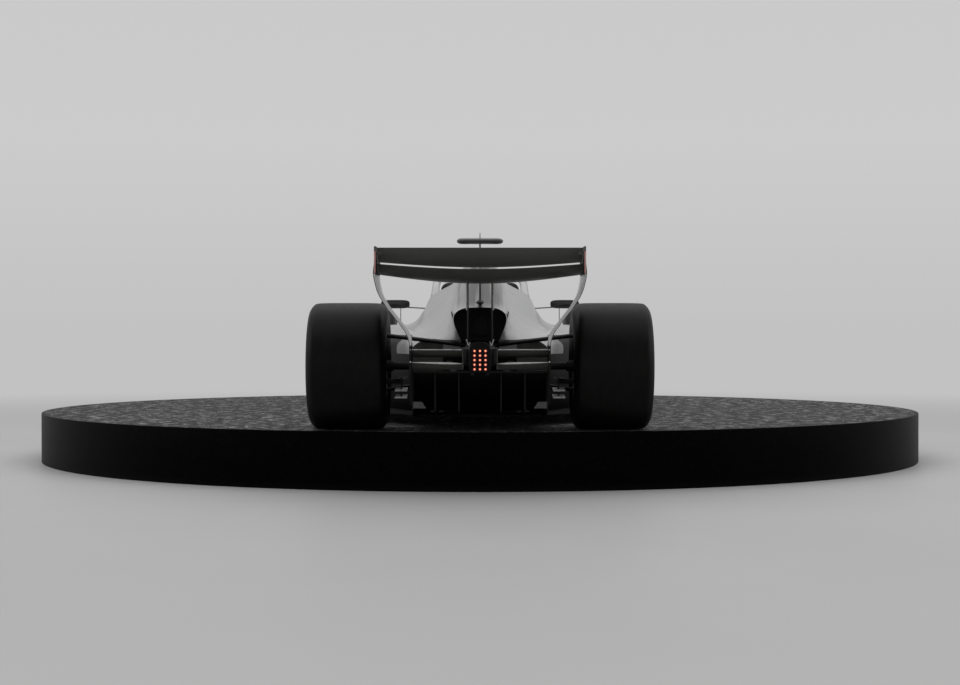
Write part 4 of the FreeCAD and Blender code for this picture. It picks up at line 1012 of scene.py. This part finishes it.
def upper_wing_pieces():
    """The rear wing's main plane, its flap on two pins, and the rolled endplates with trims and lamps."""
    main = wing_grids(rear_wing_rows(REAR_SPAN - 0.5, (-190, 888), (-452, 926), 56, 28, 26, 20))
    piece("main_plane", main, "carbon", hides=["rear_wing_main"])
    half, (y, z) = REAR_SPAN - 6.0, (-586.0, 982.0)
    blade = wing_grids(rear_wing_rows(half, (-452, 936), (-620, 1008), 28, 0, 14, 16))
    boss = rod([(half - 24, y, z), (half, y, z)], oval(13, 12, 4))
    piece("flap_blade", blade + both(boss), "carbon", "flap", ["rear_wing_flap"])
    # bare below the roll, silver on its inner face, and bare again beside the wing
    bare, silver, dark = 0, 1, 2
    inner, outer = endplate_grid(0.0), endplate_grid(ENDPLATE_WALL)
    plates = []
    for start, end, inner_kind, outer_kind in ((0, ENDPLATE_FOOT, dark, dark),
                                               (ENDPLATE_FOOT, ENDPLATE_ROLL, silver, bare),
                                               (ENDPLATE_ROLL, ENDPLATE_ROWS - 1, dark, bare)):
        rows = slice(start, end + 1)
        plates += [(inner[rows], inner_kind), (outer[rows], outer_kind)]
        for k in (0, -1):
            middle = inner[rows, k] + (outer[rows, k] - inner[rows, k]) * 0.6
            plates += [(np.stack([inner[rows, k], middle]), silver if inner_kind == silver else outer_kind),
                       (np.stack([middle, outer[rows, k]]), outer_kind)]
    plates += [(np.stack([inner[k], outer[k]]), bare) for k in (0, -1)]
    pin = bar((half - 16, y, z), (REAR_SPAN + 2, y, z), 5, 5)
    piece("rolled_endplates", both(plates + pin), ("carbon", "silver_light", "dark_carbon"),
          hides=["rear_wing_endplates"])
    # a narrow return along the rolled part's back edge, and a bolt at each end of the lower planes
    back = inner[ENDPLATE_FOOT:70, 0] + np.array([0.0, 4.0, 0.0])
    lean = directions(back)
    wide = 12.0 * np.clip(np.sin(np.linspace(0.0, math.pi, len(back))) * 3.0, 0.05, 1.0)[:, None]
    sheet = np.stack([back + points(-lean[:, 2], 0.0, lean[:, 0]) * wide * t
                      for t in np.linspace(0.0, 1.0, 4)])
    flange = sheet_between(sheet, sheet + np.array([0.0, 3.0, 0.0]))
    piece("endplate_returns", both(flange), "silver_light")
    bolts = bar((379, -477, 392), (379, -482, 392), 4.0, 4.0, 2, (0, 0, 1), 16)
    bolts += bar((379, -488, 458), (379, -492, 458), 3.0, 3.0, 2, (0, 0, 1), 16)
    piece("endplate_bolts", both(bolts), "bright_metal")
    lamps = rod(points(REAR_SPAN + 4.5, -627.0, np.linspace(872, 990, 24)), oval(1.6, 2.4, 5, 16))
    piece("endplate_lamps", both(lamps), "strip_red")


def lower_wing_pieces():
    """The rear wing's pylons with their brackets and painted highlight strips along their edges, and the beam
    wing with pale painted highlight strips on its trailing edges.
    """
    heights = np.linspace(440, 858, 24)
    front, back = (through((440, 700, 880), line, heights)
                   for line in ((-225, -213, -200), (-345, -330, -290)))
    ring = oval(4.5, 1.0, 2.6)
    pylon = np.stack([points(67 + ring[:, 0], (f + b) / 2 + (f - b) / 2 * ring[:, 1], z)
                      for f, b, z in zip(front, back, heights)])
    piece("wing_pylons", both(capped(pylon)), "dark_carbon", hides=["rear_wing_pylons"])
    # pale strips along the pylons' outer back edges: painted highlights
    edge = points(73.0, back + 8.0, heights)[13:]
    piece("pylon_highlight_strips", both(rod(edge, oval(1.6, 5.0, 3, 12))), "pale_trim")
    struts = bar((76, -346, 514), (63, -348, 478), 3.5, 3.5) + bar((54, -346, 500), (63, -348, 478), 2.5, 2.5)
    piece("pylon_brackets", both(struts), "pale_trim")
    half = 375.5
    shares = np.linspace(96 / half, 1, 14)
    upper = wing_grids([(s * half, (-300, 414 + 4 * s), (-455, 457), 12, 13) for s in shares])
    lower = wing_grids([(s * half, (-290, 350), (-450, 380 + 10 * s), 12, 13) for s in shares])
    rib = bar((92, -375, 408), (96, -375, 408), 76, 62, 8, steps=32)
    piece("beam_planes", both(upper + lower + rib), "carbon", hides=["beam_wing"])
    x = np.linspace(100, 372, 40)
    # pale strips along both elements' trailing edges: painted highlights
    edge = rod(points(x, -455.0, 458.5), oval(1.5, 2.4, 4, 12))
    # the lower painted highlight is thickest a third of the way out
    belly = rod(points(x, -451.0, 380 + 10 * x / half - 1.0), oval(1.5, 5.5, 3, 12),
                scale=np.interp(x, (100, 150, 205, 372), (0.2, 0.9, 1.0, 0.35)))
    piece("beam_highlight_strips", both(edge + belly), "pale_trim")


def front_wing_pieces():
    """Four elements swept back towards the fences, the fences, and the brackets in the slots."""
    grids = []
    for element in range(4):
        grids += wing_grids([(share * FRONT_SPAN, *front_element(element, abs(share)), 8, 12)
                             for share in np.linspace(-1, 1, 45)])
    piece("front_planes", grids, "carbon", hides=["front_wing"])
    y = np.linspace(4040, 4578, 40)
    high = through((4040, 4240, 4550, 4580), (392, 370, 160, 82), y)
    low = np.interp(y, (4040, 4580), (84, 78))
    walls = [upright_sheet(FRONT_SPAN + x, y, low, high, 14) for x in (0.5, 9.5)]
    piece("front_fences", both(sheet_between(*walls)), "carbon", hides=["front_wing_endplates"])
    links = []
    for x in (330.0, 640.0):
        for element in range(3):
            (nose_y, _), (_, z) = front_element(element, x / FRONT_SPAN)
            links += bar((x, nose_y - 98, z - 14), (x, nose_y - 150, z + 26), 16, 2.0, 2.6, (0, 0.6, 0.8))
    piece("front_slot_brackets", both(links), "upright_metal")


def over_middle(half):
    """A path that ends on the centre line, carried on to the left side."""
    half = np.array(half, float)
    return np.concatenate([half, mirror(half)[-2::-1]])


def halo_piece():
    """The hoop: an oval tube along one smooth path, with faired feet and the centre pillar."""
    path = along(over_middle([(300, 1800, 780), (297, 1880, 846), (286, 2060, 905), (235, 2330, 925),
                              (120, 2520, 925), (0, 2560, 922)]), 140)
    share = np.abs(np.linspace(-1, 1, 140))
    hoop = rod(path, oval(22, 25, 2.6, 32), (0, 0, 1), 1.0 + 0.25 * np.clip((share - 0.86) / 0.14, 0, 1) ** 2)
    pillar = rod(along([(0, 2545, 922), (0, 2600, 820), (0, 2690, 640)], 24), oval(30, 11, 2.0, 28),
                 scale=1.0 + 0.5 * np.linspace(0, 1, 24) ** 3)
    piece("halo_hoop", hoop + pillar, "silver_plain", hides=["halo"])


def mirror_pieces():
    """Rounded shells on a stalk and a stay, with the glass set into the back."""
    def rings(*rows):
        """A ring at each row's station y, with the row's half sizes."""
        ovals = [(y, oval(half_x, half_z, 4.0, 40)) for y, half_x, half_z in rows]
        return np.stack([points(577 + ring[:, 0], y, 742 + ring[:, 1]) for y, ring in ovals])

    shell = rings((2022, 95.5, 27.2), (2024, 98, 29), (2050, 98, 29), (2066, 97, 28.2), (2078, 94, 25.5),
                  (2086, 87, 20), (2090, 74, 10))
    recess = rings((2022, 95.5, 27.2), (2022.5, 93, 24.6), (2026, 92, 24))
    arms = bar((491, 2050, 721), (250, 2040, 707), 15, 4.5, stations=12)
    arms += bar((541, 2054, 717), (541, 2030, 560), 11, 3)
    piece("mirror_shells", both([shell, fan(shell[-1]), recess, fan(recess[-1])] + arms), "gloss_carbon",
          hides=["mirrors"])
    glass = rings((2025.6, 91.5, 23.6), (2025.2, 90.5, 22.6))
    piece("mirror_glass", both(capped(glass)), "mirror_glass")


def roof_pod_piece():
    """The camera pod across its stem on the airbox, with a tapered mast and a small lens in front."""
    y, z = 1560.0, 1149.0
    x = np.linspace(-1, 1, 61)
    pod = rod(points(x * 152, y, z), oval(30, 20, 2.2, 28),
              scale=np.clip(1 - np.abs(x) ** 12, 0.05, 1) ** 0.5)
    stem = rod(along([(0, y, z - 3), (0, y + 6, z - 39), (0, y + 22, z - 109)], 12), oval(26, 6, 2, 20),
               scale=1.0 + 0.5 * np.linspace(1, 0, 12) ** 4)
    mast = rod(np.linspace((0, y, z + 1), (0, y, z + 54), 6), oval(4, 4, 2, 16),
               scale=np.linspace(1.0, 0.55, 6))
    lens = bar((0, y + 28, z), (0, y + 33, z), 9, 9, 2, (0, 0, 1))
    piece("roof_pod", pod + stem + mast + lens, "gloss_carbon", hides=["camera_pod"])


# The kingpins' distance out at the front, and the inner face of the rear uprights.
KINGPIN, REAR_UPRIGHT = 693.0, 549.0


def arm_pieces():
    """Wishbones, push rods and driveshafts: slim lens sections, thicker at the joint."""
    def arms(*joints):
        """A block at each joint, and an arm from it to each of its points on the hull."""
        grids = sum((bar((x - 17, y, z), (x + 17, y, z), 17, 13, 4) for (x, y, z), _, _ in joints), [])
        for joint, thick, ends in joints:
            for end in ends:
                grids += rod(np.linspace(joint, end, 16), oval(26, thick, 2.2, 28),
                             scale=1.0 + 0.16 * np.linspace(1, 0, 16) ** 5)
        return grids

    y, inner = WHEELBASE, REAR_UPRIGHT
    front = arms(((KINGPIN, y, AXLE + 140), 8.5, ((90, y + 90, 545), (110, y - 400, 590))),
                 ((KINGPIN, y, AXLE - 140), 8.5, ((70, y + 120, 300), (90, y - 420, 300))))
    front += bar((KINGPIN - 75, y + 8, AXLE - 140), (90, y - 130, 560), 17, 10, 2.4, stations=8)
    rear = arms(((inner + 30, 0, AXLE + 180), 11.5, ((60, 40, 476), (60, 430, 474))),
                ((inner + 30, 0, AXLE - 140), 8.5, ((60, 30, 300), (60, 450, 250))))
    rear += [spun([(40, 0), (40, 21), (150, 21), (156, 30), (190, 30), (196, 21), (inner - 60, 21),
                   (inner - 52, 30), (inner - 2, 32), (inner - 0.3, 20), (inner - 0.3, 0)], (0, 0, AXLE), 40)]
    for side, sign in SIDES:
        piece("front_arms_" + side, on_side(sign, front), "gloss_carbon", hides=["front_suspension_" + side])
        piece("rear_arms_" + side, on_side(sign, rear), "dark_carbon", hides=["rear_suspension_" + side])


def knuckle_grids(wheel_x, rim_width, inner, kingpin, y, top):
    """Block, ears, brake drum with its cooling lip and the stub axle of the right side."""
    joint_half = 13.3
    below, above = 140 - joint_half, top - joint_half
    z, half = AXLE + (above - below) / 2, (above + below) / 2
    outer = wheel_x + rim_width / 2
    drum_end = outer - 118
    block = bar((inner, y, z), (inner + 56, y, z), 48, half - 14, 7, steps=40)
    ears = bar((kingpin - 17, y, z), (kingpin + 17, y, z), 17, half, 6)
    drum = spun(rounded([(inner + 52, 0), (inner + 52, 150), (inner + 58, 196), (inner + 70, 199),
                         (drum_end - 14, 199), (drum_end, 190), (drum_end, 0)], 6.0), (0, y, AXLE), 96)
    stub = spun([(drum_end - 4, 0), (drum_end - 4, 24.9), (outer - 49, 24.9), (outer - 49, 0)],
                (0, y, AXLE), 40)
    return block + ears + [drum, stub]


def knuckle_pieces():
    """Uprights: the rear pair carries the winglets, the front pair the steering arm and the scoop."""
    rear = knuckle_grids(REAR_TRACK, REAR_RIM, REAR_UPRIGHT, REAR_UPRIGHT + 30, 0.0, 180.0)
    rear += bar((440, -125, 245), (446, -125, 245), 55, 61, 8)
    rear += bar((440, -70, 276), (REAR_UPRIGHT + 6, -70, 276), 30, 14, 4)

    def vanes(z):
        """Two halves beside the plate that carries them."""
        return sum((wing_grids([(x, (-60, z + 7), (-190, z - 6), 3, 8) for x in ends])
                    for ends in ((410.0, 439.5), (446.5, 478.0))), [])

    lower = vanes(193.0) + vanes(232.0)
    # a raised trailing edge runs on across the plate between the two halves
    for z in (188.0, 227.0):
        lower += bar((410, -188.5, z), (478, -188.5, z), 1.5, 5.5, 3)
    y, arm_z, scoop_x, scoop_z = WHEELBASE, AXLE + 52, KINGPIN - 42, 304
    front = knuckle_grids(FRONT_TRACK, FRONT_RIM, KINGPIN - 28, KINGPIN, y, 140.0)
    front += bar((KINGPIN, y + 30, arm_z), (KINGPIN, y + 132, arm_z), 14, 8, 5, (1, 0, 0))
    front += bar((KINGPIN, y + 118, arm_z), (KINGPIN, y + 118, arm_z + 30), 6, 6)
    scoop = swept(points(scoop_x, y + np.array([-8, 40, 91]), scoop_z), oval(19, 39, 5), (1, 0, 0))
    hole = swept(points(scoop_x, y + np.array([91, 24]), scoop_z), oval(15, 35, 5), (1, 0, 0))
    front += [scoop, fan(scoop[0]), np.stack([scoop[-1], hole[0]]), hole, fan(hole[-1])]
    for side, sign in SIDES:
        piece("rear_knuckle_" + side, on_side(sign, rear), "dark_metal", hides=["rear_upright_" + side])
        piece("winglets_" + side, on_side(sign, lower), "pale_trim")
        piece("upper_winglets_" + side, on_side(sign, vanes(298.0)), "dark_carbon")
        piece("front_knuckle_" + side, on_side(sign, front), "dark_metal", "steering_" + side,
              ["front_upright_" + side])


def tail_pieces():
    """The rain lamp's rounded box with its fifteen lenses, and the smooth tailpipe."""
    right = np.array([(0, 336), (51, 336), (57, 342), (57, 468), (47, 490), (26, 502), (0, 503)], float)
    middle = np.array([0, 416])
    ring = rounded(np.concatenate([right, (right * np.array([-1.0, 1.0]))[-2::-1]]), 8.0) - middle
    rings = []
    for y, grow in ((-650.5, 1.0), (-676, 1.0), (-680, 0.985), (-681.5, 0.95)):
        flat = ring * grow + middle
        rings.append(points(flat[:, 0], y, flat[:, 1]))
    piece("rain_lamp", capped(np.array(rings)), "lamp_black", hides=["rain_light"])
    lenses, rims = [], []
    for x in (-29.4, 0, 29.4):
        for z in np.linspace(356, 454, 5):
            dome = swept([(x, -680, z), (x, -683, z), (x, -684.3, z)], oval(4.8, 4.8, 2.2, 16), (0, 0, 1),
                         (1, 1, 0.5))
            lenses += [dome, fan(dome[-1]), fan(dome[0])]
            rims += bar((x, -680, z), (x, -682.4, z), 8.6, 8.6, 2.6, (0, 0, 1), 20)
    piece("rain_lamp_lenses", lenses, "lamp_red")
    piece("rain_lamp_rims", rims, "lamp_rim")
    pipe = np.linspace((0, 560, 585.0), (0, 50, 598.0), 3)
    outer, inner = (swept(pipe, oval(radius, radius, 2, 48), (1, 0, 0)) for radius in (62, 58.5))
    ends = [np.stack([outer[k], inner[k]]) for k in (-1, 0)]
    piece("tail_pipe", [outer, inner, ends[0], fan(inner[0]), ends[1]], "exhaust_metal", hides=["exhaust"])


def foot_pieces():
    """A light corner plate from the diffuser's foot to each endplate, and a rounded lip at its top edge."""
    x, top = np.array([(298, 137), (306, 145), (316, 164), (322, 169), (374.5, 170)], float).T
    sheets = [np.stack([points(x, y, 133.0), points(x, y, top)]) for y in (-349.0, -346.0)]
    piece("diffuser_gussets", both(sheet_between(*sheets)), "cast_metal")
    lip = rod(points(np.linspace(126, 172, 16), -350.0, 343.0), oval(3.0, 5.0, 2.4, 20),
              scale=np.clip(np.sin(np.linspace(0.0, math.pi, 16)), 0.08, 1.0))
    piece("diffuser_lips", both(lip), "cast_metal")


def pad_piece(name, grids, hides=()):
    """A cushion in the woven cover."""
    piece(name, grids, "padding", hides=hides)


def crowned(face, normal, thick):
    """A cushion on a face grid, as thick as the root of 1 - u^6 by 1 - v^6, with its back on the face."""
    rows, columns = face.shape[:2]
    u = np.linspace(-1, 1, rows)[:, None]
    v = np.linspace(-1, 1, columns)[None]
    swell = ((1 - u**6) * (1 - v**6)) ** 0.5
    # both ends pull in a little between their corners
    middle = face.mean(axis=1, keepdims=True)
    drawn = middle + (face - middle) * (1 - 0.0192 * (1 - np.abs(v)) * u**6)[..., None]
    return sheet_between(drawn + normal * (thick * swell)[..., None],
                         drawn + normal * (0.4 * swell)[..., None])


def sewn_channels(count, steps, depth, width):
    """1 along a cushion with narrow dips at its sewn channels."""
    share = np.linspace(0, 1, steps)
    return 1 - depth * np.exp(-((((share * count) % 1.0) - 0.5) / width) ** 2)


def cushion_pieces():
    """Head rest collar and shoulder pads, and the seat's back and base pads with sewn channels."""
    steps = 150
    path = over_middle([(186, 2150, 733), (190, 2050, 733), (184, 1950, 733), (152, 1872, 733),
                        (80, 1834, 733), (0, 1826, 733)])
    ends = np.clip(1 - np.abs(2 * np.linspace(0, 1, steps) - 1) ** 60, 0.02, 1) ** 0.5
    collar = rod(along(path, steps), oval(39, 37, 3.2, 40), (0, 0, 1),
                 sewn_channels(7, steps, 0.05, 0.035) * ends)
    steps, base = 60, 742.0
    y, t = np.linspace(1669, 1888, steps), np.linspace(-1, 1, steps)
    top = through((1667, 1740, 1800, 1860, 1890), (868, 880, 864, 806, base), y)
    round_off = np.clip(1 - np.abs(t) ** 10, 0.001, 1) ** 0.4
    seam = 1 - 0.03 * np.exp(-(t / 0.03) ** 2)
    ring = oval(1.0, 1.0, 3.4, 44)
    ring[:, 1] = np.where(ring[:, 1] > 0, ring[:, 1] * (1 - 0.22 * np.clip(ring[:, 0], 0, 1) ** 2),
                          ring[:, 1])
    shoulder = points(206 + 54 * (round_off * seam)[:, None] * ring[:, 0], y[:, None],
                      ((top + base) / 2)[:, None] + ((top - base) / 2 * round_off)[:, None] * ring[:, 1])
    pad_piece("head_rest_pads", collar + both(capped(shoulder)), ["headrest"])

    steps = 70
    for name, line in (("seat_back_pad", [(0, 1834, 628), (0, 1890, 500), (0, 1960, 330), (0, 2040, 196)]),
                       ("seat_base_pad", [(0, 2070, 176), (0, 2200, 166), (0, 2360, 158), (0, 2500, 153)])):
        spine = along(line, steps)
        ahead = directions(spine)
        normal = points(0.0, -ahead[:, 2], ahead[:, 1])[:, None]
        face = spine[:, None] + points(np.linspace(-128, 128, 40), 0.0, 0.0) + normal
        pad_piece(name, crowned(face, normal, 18 * sewn_channels(5, steps, 0.35, 0.06)[:, None]))


def harness_piece():
    """Five straps of flat webbing to a round buckle, lying on the pads."""
    strap = oval(22, 1.4, 6, 20)
    grids = []
    for side, sign in reversed(SIDES):
        shoulder = along([(sign * 86, 1822, 655), (sign * 84, 1852, 652), (sign * 78, 1905, 528),
                          (sign * 60, 1975, 352), (sign * 34, 2042, 256), (sign * 16, 2082, 226)], 60)
        lap = along([(sign * 158, 2080, 222), (sign * 120, 2100, 214), (sign * 60, 2110, 214),
                     (sign * 18, 2100, 220)], 40)
        grids += rod(shoulder, strap, (1, 0, 0)) + rod(lap, strap, (0, 1, 0.4))
        adjuster = bar((sign * 70, 1934, 462), (sign * 69, 1946, 432), 27, 3.6, 5, (1, 0, 0))
        piece("strap_adjuster_" + side, adjuster, "bright_metal")
    crotch = rod(along([(0, 2230, 186), (0, 2180, 192), (0, 2118, 214)], 24), strap, (1, 0, 0))
    piece("harness_webbing", grids + crotch, "webbing")
    radius, lift = rounded([(0, 0), (30, 0), (30, 12), (22, 18), (0, 18)], 4)[1:-1].T[:, :, None, None]
    a, ahead, first = full_turn(48)[:, None], np.array([0.0, 0.35, 0.94]), np.array([1.0, 0, 0])
    turned = np.cos(a) * first + np.sin(a) * np.cross(ahead, first)
    disc = np.array([0, 2096, 216]) + lift * ahead + radius * turned
    piece("harness_buckle", capped(disc), "bright_metal")


def on_wheel(grid):
    """From the steering wheel's own frame, face towards the driver at -y, to the car."""
    tilt = math.radians(-14.0)
    x, y, z = np.moveaxis(np.asarray(grid, float), -1, 0)
    return points(x, 2400 + y * math.cos(tilt) - z * math.sin(tilt),
                  590 + y * math.sin(tilt) + z * math.cos(tilt))


def slab(x, z, half_x, half_z, y0, y1, power=5.0, taper=0.94):
    """A rounded block on the steering wheel, from y0 to y1 with both edges tapered in."""
    ring = oval(half_x, half_z, power, 48)
    rings = ((y0, taper), (y0 + 3, 1.0), (y1 - 3, 1.0), (y1, taper))
    grid = np.stack([points(x + ring[:, 0] * k, y, z + ring[:, 1] * k) for y, k in rings])
    return [on_wheel(g) for g in capped(grid)]


def steering_wheel_pieces():
    """Body plate, moulded grips, display, dials, buttons and paddles of the wheel, on its column."""
    body = slab(0, 8.5, 85, 52, -13, 13) + slab(0, 0, 26, 26, 12, 40, 2.0)
    column = bar(on_wheel((0, 30, 0)), on_wheel((0, 366, 0)), 16, 16)
    piece("wheel_plate", body + column, "carbon", hides=["steering_wheel"])
    grips = []
    for side in (-1, 1):
        path = along([(side * 86, 0, 52), (side * 112, 0, 56), (side * 127, 0, 40), (side * 128, 0, 0),
                      (side * 126, 0, -40), (side * 108, 0, -53), (side * 86, 0, -42)], 70)
        grips += capped(on_wheel(swept(path, oval(12.5, 11.5, 2.6, 24),
                                       scale=1 + 0.06 * np.sin(np.linspace(0, 6 * math.pi, 70)))))
    piece("wheel_grips", grips, "padding")
    piece("wheel_display", slab(0, 22, 44, 24, -14.6, -12.6, 7.0, 0.98), "screen")
    caps = sum((slab(x, z, 8, 8, -17.5, -12.8, 2.0, 0.86) for z in (40, 14, -12) for x in (-66, 66)), [])
    piece("wheel_buttons", caps, "pale_trim")
    knobs = sum((slab(x, z, 10.5, 10.5, -22, -12.8, 2.0, 0.8) + slab(x, z + 4, 1.6, 5, -23.2, -21.6, 3.0)
                 for x, z in ((-30, -24), (0, -26), (30, -24))), [])
    piece("wheel_dials", knobs, "gloss_carbon")
    paddles = sum((slab(x, 18, 26, 20, 17, 20, 4.0) for x in (-74, 74)), [])
    piece("shift_paddles", paddles + slab(0, 18, 80, 5, 13, 17, 5.0), "carbon")


def fitting_pieces():
    """Pressure probe and blade aerial on the nose, and the jack points under the tail."""
    probe = bar((0, 3020, 655), (0, 3020, 742), 9, 3.2, 2.2)
    probe += bar((0, 3000, 742), (0, 3060, 742), 3.4, 3.4, 2, (0, 0, 1))
    piece("pressure_probe", probe, "dark_metal")
    t, a = np.linspace(0, 1, 14)[:, None], full_turn(24)
    blade = points(2.2 * (1 - 0.7 * t) * np.cos(a), 3230 - 14 * t + 26 * (1 - 0.45 * t) * np.sin(a),
                   632 + 54 * t)
    piece("nose_aerial", capped(blade), "gloss_carbon")
    feet = sum((bar((x, -560, 333), (x, -560, 322), 16, 10, 4) for x in (-40, 40)), [])
    piece("jack_points", feet, "dark_metal")


def floor_pieces():
    """Four turning vanes ahead of each inlet."""
    vanes = []
    for k, x in enumerate((300, 380, 465, 555)):
        y = np.linspace(2230 + 22 * k, 2700 - 78 * k, 26)
        bend = x - 46 * ((y - 2230) / 470) ** 2
        high = through((2200, 2350, 2720), (205 - 14 * k, 190 - 10 * k, 96), y)
        walls = [upright_sheet(bend + side, y, np.full(26, 84.6), high, 10) for side in (-2.0, 2.0)]
        vanes += sheet_between(*walls)
    piece("floor_vanes", both(vanes), "carbon")


def wheel_detail_pieces():
    """A ring of small bolts and ten fine ribs on each wheel cover."""
    for name, sign, centre, _, rim_width in wheels():
        half = rim_width / 2
        bolts, ribs = [], []
        for away in round_axle(12, 0.5):
            at = centre + away * 205.0 + across(sign * (half - 4.5))
            bolts += bar(at, at + across(sign * 2.6), 4.2, 4.2, 2, (0, 0, 1), 12)
        piece("cover_bolts_" + name, bolts, "bright_metal", "wheel_" + name)
        for away in round_axle(10):
            inner = centre + away * 78 + across(sign * (half - COVER_DISH + 5))
            outer = centre + away * 188 + across(sign * (half - 8))
            ribs += bar(inner, outer, 4.0, 3.0, 2.4, np.cross(away, [1.0, 0, 0]), 12, 6)
        piece("cover_ribs_" + name, ribs, "rim_metal", "wheel_" + name)


def front_detail_pieces():
    """An upturned edge on the last front element, dive planes on the fences, and blisters on the nose."""
    tails = [(share * FRONT_SPAN, *front_element(3, share)[1]) for share in np.linspace(0.13, 0.985, 40)]
    upturn = rod(np.array(tails) + np.array([0, 0, 5.0]), oval(1.4, 6.0, 4, 12))
    piece("front_upturns", both(upturn), "gloss_carbon")
    planes = wing_grids([(948, (4470, 190), (4300, 236), 10, 6), (905, (4440, 196), (4310, 232), 9, 6)])
    piece("dive_planes", both(planes), "carbon")
    t = np.linspace(-1, 1, 24)
    blister = rod(points(128.0, 4330 + 60 * t, 330.0), oval(13, 9, 2.2, 24), (0, 0, 1),
                  np.clip(1 - np.abs(t) ** 4, 0.05, 1) ** 0.5)
    piece("nose_blisters", both(blister), "gloss_carbon")


def dress_cad_nodes():
    """Gives every carried-over solid its slot's finish, with its facets welded and shaded smooth."""
    slots = {row["node"]: row["material_slot"] for row in frame["record"]["subparts"]}
    slots.update(dict.fromkeys(("diffuser", "floor", "gearbox"), "dark_carbon"))
    for name, node in frame["nodes"].items():
        node.data.materials.clear()
        node.data.materials.append(finishes[slots[name]])
        node.data.polygons.foreach_set("use_smooth", np.ones(len(node.data.polygons), dtype=bool))
        node.modifiers.new("weld", "WELD").merge_threshold = 0.00002
        node.modifiers.new("edges", "EDGE_SPLIT").split_angle = math.radians(32)


# the grey in which the far floor and the backdrop's foot meet
BACKDROP = 0.54


def stage():
    """A pale floor melting into the backdrop, one wide soft box overhead and low fills at the sides."""
    f = Finish("studio_floor")
    ground = f.shader(Base_Color=f.blend(f.noise(0.6, 3.0), grey(0.36), grey(0.40)), Roughness=0.5,
                      Specular_IOR_Level=0.3)
    glow = f.node("ShaderNodeEmission", {}, {"Color": (*grey(BACKDROP), 1.0), "Strength": 1.0})
    away = f.node("ShaderNodeVectorMath", {"operation": "LENGTH"}, {0: f.place}, 1)
    mesh = bpy.data.meshes.new("studio_floor")
    reach = 150.0
    mesh.from_pydata([(x * reach, y * reach, 0) for x, y in ((-1, -1), (1, -1), (1, 1), (-1, 1))], [],
                     [(0, 1, 2, 3)])
    mesh.materials.append(f.close(f.mix(away.smooth(3.6, 15.0) * f.seen(), ground, glow)))
    floor = bpy.data.objects.new("studio_floor", mesh)
    bpy.context.scene.collection.objects.link(floor)

    # the world falls off with height: one ramp is seen, and the other lights the object
    f = Finish("studio", "worlds", "Generated")
    fill, backdrop = (
        f.node("ShaderNodeBackground", {}, {0: f.node("ShaderNodeValToRGB", {"stops": stops}, {0: f.z})})
        for stops in (((0.0, 0.16), (0.25, 0.30), (0.8, 0.62)),
                      ((0.0, BACKDROP), (0.10, 0.60), (0.30, 0.58), (0.75, 0.16))))
    bpy.context.scene.world = f.close(f.mix(f.seen(), fill, backdrop), "World")

    for name, place, target, size, power in (
        ("overhead", (0.0, 0.3, 9.0), (0.0, 0.3, 0.5), (17.0, 17.0), 1040.0),
        ("left_side", (-11.0, -2.0, 6.0), (0.0, 0.0, 0.6), (8.0, 5.0), 170.0),
        ("right_side", (11.0, -2.0, 6.0), (0.0, 0.0, 0.6), (8.0, 5.0), 170.0),
    ):
        lamp = bpy.data.lights.new(name, "AREA")
        lamp.shape = "RECTANGLE"
        lamp.size, lamp.size_y = size
        lamp.energy = power
        lit = bpy.data.objects.new(name, lamp)
        bpy.context.scene.collection.objects.link(lit)
        aim = np.array(target) - np.array(place)
        aim = aim / np.linalg.norm(aim)
        lit.location = place
        lit.rotation_euler = (math.acos(-aim[2]), 0.0, math.atan2(aim[0], -aim[1]) + math.pi)


def camera():
    """The photograph's view: low behind the rear axle on the centre line, tipped down a little."""
    focal_px, horizon_px, frame_px = 1833.0, 330.0, (960, 685)
    behind_axle, above_deck = 10.47, 0.566
    data = bpy.data.cameras.new("camera")
    data.sensor_width = 36.0
    data.lens = data.sensor_width * focal_px / frame_px[0]
    view = bpy.data.objects.new("camera", data)
    bpy.context.scene.collection.objects.link(view)
    view.location = (0.0, CAR_Y - behind_axle, CAR_Z + above_deck)
    tip = math.atan((frame_px[1] / 2 - horizon_px) / focal_px)
    view.rotation_euler = (math.pi / 2 - tip, 0.0, 0.0)
    bpy.context.scene.camera = view


camera()
stage()
dress_cad_nodes()
plinth_piece()
hull_pieces()
bodywork_pieces()
wheel_pieces()
upper_wing_pieces()
lower_wing_pieces()
front_wing_pieces()
halo_piece()
mirror_pieces()
roof_pod_piece()
arm_pieces()
knuckle_pieces()
tail_pieces()
foot_pieces()
cushion_pieces()
harness_piece()
steering_wheel_pieces()
fitting_pieces()
floor_pieces()
wheel_detail_pieces()
front_detail_pieces()

bpy.context.scene.view_settings.view_transform = "Standard"
